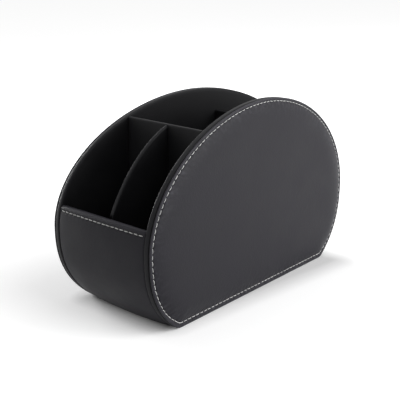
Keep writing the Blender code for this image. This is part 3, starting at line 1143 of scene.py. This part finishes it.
@dataclass(frozen=True)
class EndWall:
    """An end wall: a board bent along the oval, lined inside, with foam and a cover outside.

    The cover folds over the lip, is turned in behind it, and is sewn once across below it.

    Args:
        end: Which one.
        lip_height: Height of its top edge.
        set_in: How far inside the oval its cover lies at the two sides.
        crown: How far the cover stands out halfway across.
        fold_depth: How far the cover is turned in behind the lip.
        stitch_drop: Distance from the lip down to the seam.
        stitch_end: Share of the width between the seam and either side.
        groove: Depth that the seam is drawn down to.
        pull: How much further each needle hole is drawn down.
        thread_rise: How far the thread's middle stands out of the groove, in widths of the thread.
        span: Width and height of the wall in the noise that makes it uneven.
        lining_shift: Where the lining lies in that noise.
        near_angle: Angle below the lip in which distances are measured.
        out_step: Distance over which the way out of the wall is taken.
    """

    end: End
    lip_height: float
    set_in: float = WALL_SET_IN
    crown: float = 2.3 * MM
    crown_power: float = 0.55
    skin: float = 0.7 * MM
    foam: float = 0.7 * MM
    depth: float = WALL_SET_IN + WALL_THICKNESS
    outer_radius: float = 1.8 * MM
    inner_radius: float = 1.4 * MM
    fold_depth: float = 9 * MM
    fold_round: float = 0.2 * MM
    stitch_drop: float = 4 * MM
    stitch_end: float = 0.02
    groove: float = 0.5 * MM
    groove_width: float = 0.65 * MM
    hem_rise: float = 0.25 * MM
    pull: float = 0.24 * MM
    pull_up: float = 1.2 * MM
    pull_down: float = 1.3 * MM
    pull_range: Range = (0.5, 1.4)
    thread_rise: float = 0.6
    ripple: float = 0.1 * MM
    ripple_width: float = 7 * MM
    wave: float = 0.2 * MM
    wave_width: float = 30 * MM
    end_rounding: float = 0.25 * MM
    end_rounding_width: float = 1 * MM
    foot_rounding: float = 0.5 * MM
    foot_rounding_width: float = 1.2 * MM
    lowest: float = 0.05 * MM
    floor_top: float = 5.6 * MM
    lining_gap: float = 0.35 * MM
    lining_wave: float = 0.08 * MM
    lining_wave_width: float = 18 * MM
    lining_shift: float = 5
    lining_span: float = 70 * MM
    pad_foot: float = 1.3 * MM
    pad_top: float = 1.8 * MM
    rubbed_and_highlit_width: float = 2.2 * MM
    span: float = 90 * MM
    near_angle: float = 0.35
    near_steps: int = 60
    out_step: float = 10 * MM
    columns_per_stitch: int = 6
    stitches: Stitches = Stitches(width=0.8 * MM)

    NEAR_LIP = (12, 10.2, 8.7, 7.4, 6.4, 5.6, 5.0, 4.55, 4.25, 4.0, 3.75, 3.5, 3.2, 2.8, 2.4, 2.0)
    FOOT_SHARES = (0, 0.003, 0.007, 0.012, 0.02)
    FACE_SHARES = spread(0.035, 1.0, 26)[:-1]
    END_SHARES = (0, 0.003, 0.007, 0.012)
    OUTER_TURNS = spread(0, 90, 6)
    INNER_TURNS = spread(90, 180, 5)
    FOLD = (2.5, 4.0, 6.0, 8.0, 8.8)
    UNDER_FOLD = 6.0
    LINING_GRID = (48, 24)
    PAD_GRID = (24, 20)
    SEED_STEP = 10

    def build(self) -> None:
        """Builds the wall's four soft pieces and dresses them and its board."""
        word = self.end.word
        COVER_LEATHERETTE.dress(self._cover(), f"{word}_wall_cover", fill=0.7)
        LINING_LEATHERETTE.dress(self._lining(), f"{word}_wall_lining")
        PADDING_FOAM.dress(self._pad(), f"{word}_wall_foam", fill=1.0)
        WHITE_THREAD.dress(self._stitch_row(), f"{word}_lip_stitching")
        GREYBOARD.refinish(f"{word}_wall_board")

    @cached_property
    def _lip_angle(self) -> float:
        """The oval's angle at the lip."""
        return OVAL.angle_at_height(self.lip_height, 0.0, self.end)

    @cached_property
    def _lip(self) -> Vector:
        """The lip (x, z) at the two sides."""
        return self._point(self._lip_angle, self.set_in)

    @cached_property
    def _near_lip(self) -> tuple[list[float], list[float]]:
        """Distances down the wall from the lip, and the oval's angle at each."""
        angles = spread(self._lip_angle, self._lip_angle - self.near_angle, self.near_steps)
        points = [OVAL.inset_point(angle, self.set_in, self.end) for angle in angles]
        travelled = [0.0]
        for point, following in zip(points, points[1:]):
            travelled.append(travelled[-1] + (following - point).length)
        return travelled, angles

    @cached_property
    def _stitch_count(self) -> int:
        """How many stitches the seam has."""
        half = PLAN.seat_half_width(self._below(self.stitch_drop, self.set_in).x)
        return round(2 * half * (1 - 2 * self.stitch_end) / self.stitches.pitch)

    @cached_property
    def _pulls(self) -> list[float]:
        """How hard each needle hole is drawn in, a little different from one to the next."""
        chance = random.Random(self.stitches.seed + self.SEED_STEP * self.end.value)
        return [chance.uniform(*self.pull_range) for _ in range(self._stitch_count + 2)]

    @cached_property
    def _columns(self) -> list[float]:
        """Shares of the way across, close together at both ends and in step with the stitches."""
        first, last = self.stitch_end, 1 - self.stitch_end
        sewn = spread(first, last, self._stitch_count * self.columns_per_stitch)
        return [*self.END_SHARES, *sewn, *(1 - share for share in reversed(self.END_SHARES))]

    def _point(self, angle: float, inset: float) -> Vector:
        """A point (x, z) of the wall, foreshortened as the sides are by their angle in the plan."""
        point = OVAL.inset_point(angle, inset, self.end)
        return Vector((point.x * math.cos(PLAN.angle), point.y))

    def _angle_below(self, distance: float) -> float:
        """The oval's angle at a distance down the wall from the lip."""
        return float(np.interp(distance, *self._near_lip))

    def _below(self, distance: float, inset: float) -> Vector:
        """A point (x, z) of the wall at a distance down it from the lip."""
        return self._point(self._angle_below(distance), inset)

    def _angles(self, foot: float, top: float, inset: float, shares: Sequence[float]) -> list[float]:
        """The oval's angles at shares of the way from a height up to another angle."""
        low = OVAL.angle_at_height(foot, inset, self.end)
        return [low + (top - low) * share for share in shares]

    def _swell(self, share: float) -> float:
        """How far the cover stands out, a share of the way across."""
        return self.crown * math.sin(math.pi * min(max(share, 0), 1)) ** self.crown_power

    def _rounding(self, share: float) -> float:
        """How far the cover turns in close to either side."""
        from_end = min(share, 1 - share) * 2 * PLAN.seat_half_width(self._lip.x)
        return self.end_rounding * fading(from_end, self.end_rounding_width) ** 2

    def _relief(self, column: int, share: float, distance: float, height: float, pull: float) -> float:
        """How far the sewn and padded cover stands out of its plain curve.

        Args:
            column: Which column of the cover.
            share: How far across it is.
            distance: How far down the wall from the lip.
            height: Height above the floor.
            pull: How much further than the groove the needle holes are drawn down.

        Returns:
            The relief, outwards.
        """
        down = distance - self.stitch_drop
        relief = self.hem_rise * bell(distance - self.stitch_drop / 2, self.stitch_drop / 2)
        if self.stitch_end <= share <= 1 - self.stitch_end:
            step = column - len(self.END_SHARES)
            hole, nearness = nearest_hole(step, self.columns_per_stitch, len(self._pulls))
            reach = self.pull_down if down > 0 else self.pull_up
            relief -= self.groove * bell(down, self.groove_width)
            relief -= pull * self._pulls[hole] * nearness * math.exp(-abs(down) / reach)
        inside = math.sin(math.pi * share)
        here = Vector((share * self.span, self.end.value, distance))
        fade = math.exp(-abs(down) / self.pull_down)
        relief += self.ripple * unevenness(here, self.ripple_width) * fade * inside
        relief += self.wave * unevenness(here, self.wave_width) * inside
        return relief - self.foot_rounding * fading(height, self.foot_rounding_width) ** 2

    def _face(self, column: int, share: float, inset: float, pull: float) -> Loop:
        """One column of the cover, from the foot up to the rounding of the lip.

        Args:
            column: Which column.
            share: How far across it is.
            inset: How far inside the oval its plain curve lies.
            pull: How much further than the groove the needle holes are drawn down.

        Returns:
            The points (x, z).
        """
        near = self.NEAR_LIP[0] * MM
        shares = [*self.FOOT_SHARES, *self.FACE_SHARES]
        angles = self._angles(0.0, self._angle_below(near), inset, shares)
        places = [(angle, near + (1 - up) * self.span) for angle, up in zip(angles, shares)]
        places += [(self._angle_below(distance * MM), distance * MM) for distance in self.NEAR_LIP]
        points = []
        for angle, distance in places:
            height = self._point(angle, inset).y
            relief = self._relief(column, share, distance, height, pull)
            point = self._point(angle, inset - relief)
            points.append(Vector((point.x, max(point.y, self.lowest))))
        return points

    def _corner(self, centre: tuple[float, float], radius: float, turns: Sequence[float]) -> Loop:
        """Points round one corner of the lip.

        Args:
            centre: How far below the lip and how far inside the oval the corner's centre is.
            radius: The corner's radius.
            turns: Where the points lie, from 0, outwards, through 90, up, to 180 degrees, inwards.

        Returns:
            The points (x, z).
        """
        points = []
        for turn in turns:
            down = centre[0] - radius * math.sin(math.radians(turn))
            inset = centre[1] - radius * math.cos(math.radians(turn))
            points.append(self._below(down, inset))
        return points

    def _cover(self) -> Piece:
        """The cover, from its foot over the lip to its turned-in edge, with its thickness.

        Returns:
            The piece.
        """
        under = self.depth - self.skin
        inner = (self.inner_radius, self.depth - self.inner_radius)
        rings = []
        for column, share in enumerate(self._columns):
            inset = self.set_in - self._swell(share) + self._rounding(share)
            outer = (self.outer_radius, inset + self.outer_radius)
            ring = self._face(column, share, inset, self.pull)
            ring += self._corner(outer, self.outer_radius, self.OUTER_TURNS)
            ring += self._corner(inner, self.inner_radius, self.INNER_TURNS)
            ring += [self._below(distance * MM, self.depth) for distance in self.FOLD]
            ring.append(self._below(self.fold_depth, self.depth - self.fold_round))
            ring.append(self._below(self.fold_depth, under))
            ring.append(self._below(self.UNDER_FOLD * MM, under))
            ring += self._corner(inner, self.inner_radius - self.skin, self.INNER_TURNS[::-1])
            ring += self._corner(outer, self.outer_radius - self.skin, self.OUTER_TURNS[::-1])
            ring += self._face(column, share, inset + self.skin, 0.0)[::-1]
            rings.append([PLAN.across(share, point) for point in ring])
        piece = lofted(f"{self.end.word}_wall_skin", rings)
        # Paler in a band round the lip's height: wear where the cover folds over, and a painted highlight
        # along the top.
        mark_edge(piece, lambda place: fading(abs(self._lip.y - place.z), self.rubbed_and_highlit_width))
        return piece

    def _lining(self) -> Piece:
        """The lining inside the wall, from the floor up to the cover's turned-in edge.

        Returns:
            The piece.
        """
        foot = self.floor_top + PLAN.fit_gap
        top = self._angle_below(self.fold_depth + self.lining_gap)
        back = self.depth - self.skin
        columns, rows = self.LINING_GRID
        heights = spread(0, 1, rows)
        rings = []
        for share in spread(0, 1, columns):
            ring = []
            for height, angle in zip(heights, self._angles(foot, top, self.depth, heights)):
                place = (share * self.span, self.end.value + self.lining_shift, height * self.lining_span)
                uneven = unevenness(Vector(place), self.lining_wave_width) * math.sin(math.pi * share)
                rounding = self.fold_round if height == 1 else 0.0
                ring.append(self._point(angle, self.depth - rounding + min(self.lining_wave * uneven, 0)))
            ring += [self._point(angle, back) for angle in self._angles(foot, top, back, heights[::-1])]
            rings.append([PLAN.across(share, point) for point in ring])
        piece = lofted(f"{self.end.word}_wall_lining_skin", rings)
        mark_edge(piece, lambda place: 0.0)
        return piece

    def _pad(self) -> Piece:
        """The foam between the board and the cover.

        Returns:
            The piece.
        """
        outer = self.set_in + self.skin + PLAN.fit_gap
        top = self._angle_below(self.pad_top)
        columns, rows = self.PAD_GRID
        heights = spread(0, 1, rows)
        rings = []
        for share in spread(0, 1, columns):
            ring = []
            for inset, way in ((outer - self._swell(share), heights), (outer + self.foam, heights[::-1])):
                ring += [self._point(angle, inset) for angle in self._angles(self.pad_foot, top, inset, way)]
            rings.append([PLAN.across(share, point) for point in ring])
        return lofted(f"{self.end.word}_wall_pad", rings)

    def _stitch_row(self) -> Piece:
        """The seam across the wall below the lip.

        Returns:
            The piece.
        """
        out = self._below(self.stitch_drop, 0) - self._below(self.stitch_drop, self.out_step)
        outward = Vector((out.x, 0, out.y)).normalized()
        shares = spread(self.stitch_end, 1 - self.stitch_end, self._stitch_count)
        needles = []
        for first, last in zip(shares, shares[1:]):
            places = []
            for share in (first, (first + last) / 2, last):
                groove = self.set_in - self._swell(share) + self.groove
                inset = groove - self.thread_rise * self.stitches.width
                places.append(PLAN.across(share, self._below(self.stitch_drop, inset)))
            needles.append(Needle(places[1], (places[2] - places[0]).normalized(), outward))
        return self.stitches.row(f"{self.end.word}_lip_stitches", needles)


# The base


@dataclass(frozen=True)
class FeltSlab:
    """A layer of felt in the base, cut to the shape of the plan.

    Args:
        node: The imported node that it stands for.
        name: The piece's name.
        bottom: Height of its underside.
        thickness: Its thickness.
        inset: How far inside the oval its two ends lie.
        rounding: How far its top edges are pressed down.
        plain_from: Distance from either end at which its even part begins.
    """

    node: str
    name: str
    bottom: float
    thickness: float
    inset: float
    rounding: float = 0.3 * MM
    rounding_width: float = 1.2 * MM
    plain_from: float = 3 * MM
    nap: float = 0.12 * MM
    nap_width: float = 9 * MM
    end_steps: int = 4
    long_steps: int = 60
    cross_steps: int = 30

    def build(self) -> None:
        """Builds the slab and dresses it."""
        front, rear = (wall_face(self.bottom, self.inset, end) - end.value * PLAN.fit_gap for end in End)
        places = [
            *spread(front, front + self.rounding_width, self.end_steps),
            *spread(front + self.plain_from, rear - self.plain_from, self.long_steps),
            *spread(rear - self.rounding_width, rear, self.end_steps),
        ]
        rings = [self._section(x, min(x - front, rear - x)) for x in places]
        NEEDLE_FELT.dress(lofted(self.name, rings), self.node)

    def _section(self, x: float, from_end: float) -> Loop:
        """A section across the slab.

        Args:
            x: Where along the length.
            from_end: Its distance from the nearer end.

        Returns:
            The ring in the row frame.
        """
        squeeze = self.rounding * fading(from_end, self.rounding_width) ** 2
        half = PLAN.seat_half_width(x)
        low, high = self.bottom, self.bottom + self.thickness
        ring = []
        for height, first, last in ((1, -1, 1), (0, 1, -1)):
            for across in spread(first, last, self.cross_steps):
                y = across * half
                rounding = self.rounding * fading(half - abs(y), self.rounding_width) ** 2
                nap = self.nap * (unevenness(Vector((x, y, height)), self.nap_width) - 1) / 2
                z = high - squeeze - rounding + nap if height else low + (squeeze + rounding) / 2
                ring.append(Vector((x, y, z)))
        return ring


@dataclass(frozen=True)
class Base:
    """The base between the sides: a felt sole, a board and a floor of felt."""

    sole_thickness: float = 1 * MM
    board_thickness: float = 3 * MM
    felt_thickness: float = 1 * MM
    sole_inset: float = WALL_SET_IN + 0.7 * MM
    felt_inset: float = WALL_SET_IN + 4.5 * MM

    def build(self) -> None:
        """Builds both felts and dresses them and the board."""
        floor = self.sole_thickness + self.board_thickness + 2 * PLAN.fit_gap
        FeltSlab("base_sole", "felt_sole", 0, self.sole_thickness, self.sole_inset).build()
        FeltSlab("floor_felt", "felt_floor", floor, self.felt_thickness, self.felt_inset).build()
        GREYBOARD.refinish("base_board")


# The dividers


@dataclass(frozen=True)
class DividerWrap:
    """The leatherette folded over a divider's board, from its foot over its top edge and down again.

    Args:
        name: The divider's name in node names.
        along: The direction that the divider runs in.
        place: Gives a point of its middle plane for a share along it and a share of the way up.
        half: Half its thickness.
        skin: Thickness of the leatherette.
        corner: Radius of the two folds along its top edge.
        wave: How far a wrapped face is drawn in between its firmer spots.
    """

    name: str
    along: Vector
    place: Place
    half: float = DIVIDER_HALF
    skin: float = 0.5 * MM
    corner: float = 1.2 * MM
    wave: float = 0.1 * MM
    wave_width: float = 22 * MM
    rubbed_and_highlit_width: float = 1.8 * MM
    face_rows: int = 24
    corner_rows: int = 5
    columns: int = 60

    def build(self) -> None:
        """Builds the wrap and dresses it and its board."""
        outward = Vector((0, 0, 1)).cross(self.along)
        shares = spread(0, 1, self.columns)
        rows = []
        for offset, up, below_top in self._section():
            row = []
            for share in shares:
                height = (self.place(share, 1) - self.place(share, 0)).length
                point = self.place(share, up if up < 1 else 1 - below_top / height)
                row.append(point + outward * (offset + self._wave(point, offset)))
            rows.append(row)
        piece = sheet_of(f"{self.name}_folded_wrap", rows, self.skin)
        top = as_array([self.place(share, 1) for share in shares])
        # Paler along the top edge: wear, and a painted highlight where light catches the fold.
        mark_edge(piece, lambda place: fading(distance_to(top, place), self.rubbed_and_highlit_width))
        LINING_LEATHERETTE.dress(piece, f"{self.name}_wrap")
        GREYBOARD.refinish(f"{self.name}_board")

    def _section(self) -> list[tuple[float, float, float]]:
        """The wrap's section, from one foot over the top to the other.

        Returns:
            For each row, its distance from the middle plane, its share of the way up the face, and,
            where that is 1, how far it is below the top edge.
        """
        flat = self.half - self.corner
        side = [(-self.half, share, 0.0) for share in spread(0, 1, self.face_rows)[:-2]]
        for turn in spread(0, math.pi / 2, self.corner_rows):
            side.append((-flat - self.corner * math.cos(turn), 1.0, self.corner * (1 - math.sin(turn))))
        return side + [(-offset, up, below_top) for offset, up, below_top in reversed(side)]

    def _wave(self, point: Vector, offset: float) -> float:
        """The slight unevenness of a wrapped face, drawn in towards the board."""
        side = math.copysign(1, offset)
        return -side * self.wave * (0.5 + 0.5 * unevenness(point + Vector((0, 0, side)), self.wave_width))


@dataclass(frozen=True)
class Dividers:
    """Two cross dividers from side to side, and a long one in front of each.

    Args:
        rim_step_down: How far below the rims the front ones end.
        wall_depth: How far inside the oval the front long one begins.
        steepest: Slope that its top edge doesn't pass.
    """

    foot: float = 5.9 * MM
    half: float = DIVIDER_HALF
    front_x: float = -59.5 * MM
    rear_x: float = 25 * MM
    long_y: float = -3 * MM
    rim_step_down: float = 0.7 * MM
    rear_height: float = 128 * MM
    middle_long_height: float = 116 * MM
    wall_depth: float = WALL_SET_IN + WALL_THICKNESS + PLAN.fit_gap
    steepest: float = 5

    def build(self) -> None:
        """Builds all four wraps and dresses them and their boards."""
        across, along = Vector((0, 1, 0)), Vector((1, 0, 0))
        front_top = self._top_below_rim(self.front_x)
        DividerWrap("front_cross_divider", across, self._cross(self.front_x, front_top)).build()
        DividerWrap("rear_cross_divider", across, self._cross(self.rear_x, self.rear_height)).build()
        DividerWrap("front_long_divider", along, self._front_long()).build()
        DividerWrap("middle_long_divider", along, self._middle_long()).build()

    def _top_below_rim(self, x: float) -> float:
        """How high a divider reaches that ends just below the rims.

        Args:
            x: Where along the length.

        Returns:
            The height.
        """
        end = End.REAR if x > OVAL.apex_set_back else End.FRONT
        reach = end.value * x / math.cos(PLAN.angle)
        angle = crossing(0.0, math.pi / 2, lambda angle: end.value * OVAL.point(angle, end).x <= reach)
        return OVAL.point(angle, end).y - self.rim_step_down

    def _upright(self, first: Sequence[float], last: Sequence[float], top: float) -> Place:
        """The middle plane of a divider with a level top.

        Args:
            first: Where it begins (x, y).
            last: Where it ends.
            top: Height of its top edge.

        Returns:
            A function from a share along it and a share of the way up to a point.
        """

        def place(share: float, up: float) -> Vector:
            """A point for a share along it and a share of the way up."""
            x, y = (start + share * (stop - start) for start, stop in zip(first, last))
            return Vector((x, y, self.foot + up * (top - self.foot)))

        return place

    def _cross(self, x: float, top: float) -> Place:
        """The middle plane of a cross divider at a place along the length."""
        reach = PLAN.seat_half_width(x + self.half)
        return self._upright((x, -reach), (x, reach), top)

    def _middle_long(self) -> Place:
        """The middle plane of the long divider between the two cross dividers."""
        first, last = self.front_x + self.half + PLAN.fit_gap, self.rear_x - self.half - PLAN.fit_gap
        return self._upright((first, self.long_y), (last, self.long_y), self.middle_long_height)

    def _front_long(self) -> Place:
        """The middle plane of the long divider from the front wall to the front cross divider.

        Returns:
            A function from a share along it and a share of the way up to a point.
        """
        lip = OVAL.angle_at_height(FRONT_LIP_HEIGHT, 0, End.FRONT)
        corner = OVAL.inset_point(lip, self.wall_depth, End.FRONT)
        corner.x *= math.cos(PLAN.angle)
        last = self.front_x - self.half - PLAN.fit_gap
        drop = self._top_below_rim(corner.x) - FRONT_LIP_HEIGHT

        def top(x: float) -> float:
            """The height of its top edge at a place along the length."""
            curve = self._top_below_rim(x) - drop * ((last - x) / (last - corner.x)) ** 2
            return min(curve, corner.y + self.steepest * (x - corner.x))

        def place(share: float, up: float) -> Vector:
            """A point of the divider, whose front end follows the wall.

            Args:
                share: A share of the way along it.
                up: A share of the way up.

            Returns:
                The point.
            """
            first = wall_face(self.foot + up * (corner.y - self.foot), self.wall_depth, End.FRONT)
            height = self.foot + up * (top(corner.x + share * (last - corner.x)) - self.foot)
            return Vector((first + share * (last - first), self.long_y, height))

        return place


# The studio


@dataclass(frozen=True)
class SoftBox:
    """A square soft lamp that looks at the organizer.

    Args:
        name: Its name.
        place: Where it stands.
        size: Its width.
        power: Its power in watts.
    """

    name: str
    place: Vector
    size: float
    power: float

    def build(self, target: Vector) -> None:
        """Makes the lamp.

        Args:
            target: What it looks at.
        """
        lamp = bpy.data.lights.new(self.name, "AREA")
        lamp.shape = "SQUARE"
        lamp.size = self.size
        lamp.energy = self.power
        stand = in_scene(self.name, lamp)
        stand.location = self.place
        stand.rotation_euler = (target - self.place).to_track_quat("-Z", "Y").to_euler()


@dataclass(frozen=True)
class Studio:
    """A pale sweep under soft light, and the camera at the photograph's viewing angle.

    Args:
        sweep_seen: Colour of the sweep where it is seen directly.
        sweep_bounce: Its colour for the light that it sends on to the organizer.
        footprint: Half the box round the organizer inside which the sweep keeps its shadow.
        lift_near: Light added to the sweep, seen directly, just outside that box.
        lift_far: Light added farther away. Each sets in evenly over its reach.
    """

    camera_place: Vector = field(default_factory=lambda: Vector((-515.34, -475.91, 264.79)) * MM)
    camera_direction: Vector = field(default_factory=lambda: Vector((0.69072, 0.66870, -0.27520)))
    lens: float = 84.571
    sensor: float = 36.0
    sweep_size: float = 8.0
    sweep_seen: str = "#f4f4f4"
    sweep_bounce: str = "#aaaaaa"
    footprint: Vector = field(default_factory=lambda: Vector((95, 38, 0)) * MM)
    lift_near: float = 0.35
    lift_near_reach: float = 22 * MM
    lift_far: float = 0.35
    lift_far_reach: float = 350 * MM
    dome: float = 0.26
    target: Vector = field(default_factory=lambda: Vector((0, 0, 0.07)))
    lamps: tuple[SoftBox, ...] = (
        SoftBox("key from the right", Vector((0.9, -1.1, 0.8)), 1.0, 10.0),
        SoftBox("overhead in front", Vector((0.2, -0.9, 1.3)), 0.9, 6.5),
        SoftBox("low fill from the front", Vector((0.5, -1.5, 0.3)), 0.8, 12.0),
        SoftBox("low kicker from behind on the left", Vector((0.1, 1.3, 0.15)), 0.5, 28.0),
    )

    def build(self) -> None:
        """Sets the camera, the sweep, the lamps and the surroundings."""
        self._camera()
        self._sweep()
        self._surroundings()
        for lamp in self.lamps:
            lamp.build(self.target)
        bpy.context.scene.view_settings.view_transform = "Standard"

    def _camera(self) -> None:
        """The camera that was fitted to the photograph, without shift or depth of field."""
        optics = bpy.data.cameras.new("camera")
        optics.lens = self.lens
        optics.sensor_width = self.sensor
        camera = in_scene("camera", optics)
        camera.location = self.camera_place
        camera.rotation_euler = self.camera_direction.to_track_quat("-Z", "Y").to_euler()
        bpy.context.scene.camera = camera

    def _seen_directly(self, tree: Tree) -> Output:
        """For rays from the camera or that a gloss or glass sends on, 1, else 0.

        Args:
            tree: The tree that it is for.

        Returns:
            The output that gives it.
        """
        rays = add_node(tree, "ShaderNodeLightPath").outputs
        sent_on = calculated(tree, "MAXIMUM", rays["Is Glossy Ray"], rays["Is Transmission Ray"])
        return calculated(tree, "MAXIMUM", rays["Is Camera Ray"], sent_on)

    def _sweep(self) -> None:
        """The pale floor. Away from the object it is lifted to white where it is seen directly."""
        half = self.sweep_size / 2
        mesh = bpy.data.meshes.new("sweep")
        corners = [(-half, -half, 0), (half, -half, 0), (half, half, 0), (-half, half, 0)]
        mesh.from_pydata(corners, [], [(0, 1, 2, 3)])
        sweep = in_scene("sweep", mesh)
        material, tree = empty_material("matt white paper sweep")
        seen = self._seen_directly(tree)
        colour = between(tree, seen, linear(self.sweep_bounce), linear(self.sweep_seen))
        paper = add_node(tree, "ShaderNodeBsdfDiffuse", {"Color": colour})
        place = add_node(tree, "ShaderNodeTexCoord").outputs["Object"]
        outside = measured(tree, "SUBTRACT", measured(tree, "ABSOLUTE", place), self.footprint)
        away = measured(tree, "LENGTH", measured(tree, "MAXIMUM", outside, (0, 0, 0)), result="Value")
        near = ranged(tree, away, (0.0, self.lift_near_reach), (0.0, self.lift_near))
        far = ranged(tree, away, (0.0, self.lift_far_reach), (0.0, self.lift_far))
        shown = calculated(tree, "MULTIPLY", calculated(tree, "ADD", near, far), seen)
        glow = add_node(tree, "ShaderNodeEmission", {"Color": linear("#ffffff"), "Strength": shown})
        shaders = {"Shader": paper.outputs["BSDF"], "Shader_001": glow.outputs["Emission"]}
        both = add_node(tree, "ShaderNodeAddShader", shaders).outputs["Shader"]
        add_node(tree, "ShaderNodeOutputMaterial", {"Surface": both})
        mesh.materials.append(material)

    def _surroundings(self) -> None:
        """An even dome, which is white where it is seen directly."""
        world = bpy.data.worlds.new("studio")
        world.use_nodes = True
        tree = world.node_tree
        tree.nodes.clear()
        strength = ranged(tree, self._seen_directly(tree), (0.0, 1.0), (self.dome, 1.0))
        glow = add_node(tree, "ShaderNodeBackground", {"Color": linear("#ffffff"), "Strength": strength})
        add_node(tree, "ShaderNodeOutputWorld", {"Surface": glow.outputs["Background"]})
        bpy.context.scene.world = world


def main() -> None:
    """Builds the organizer, one sub-assembly after the other, and then its studio."""
    logging.basicConfig(level=logging.INFO, format="%(name)s: %(message)s")
    for side in Side:
        SidePanel(side).build()
    EndWall(End.FRONT, lip_height=FRONT_LIP_HEIGHT).build()
    EndWall(End.REAR, lip_height=REAR_LIP_HEIGHT).build()
    Base().build()
    Dividers().build()
    Studio().build()


if __name__ == "__main__":
    main()
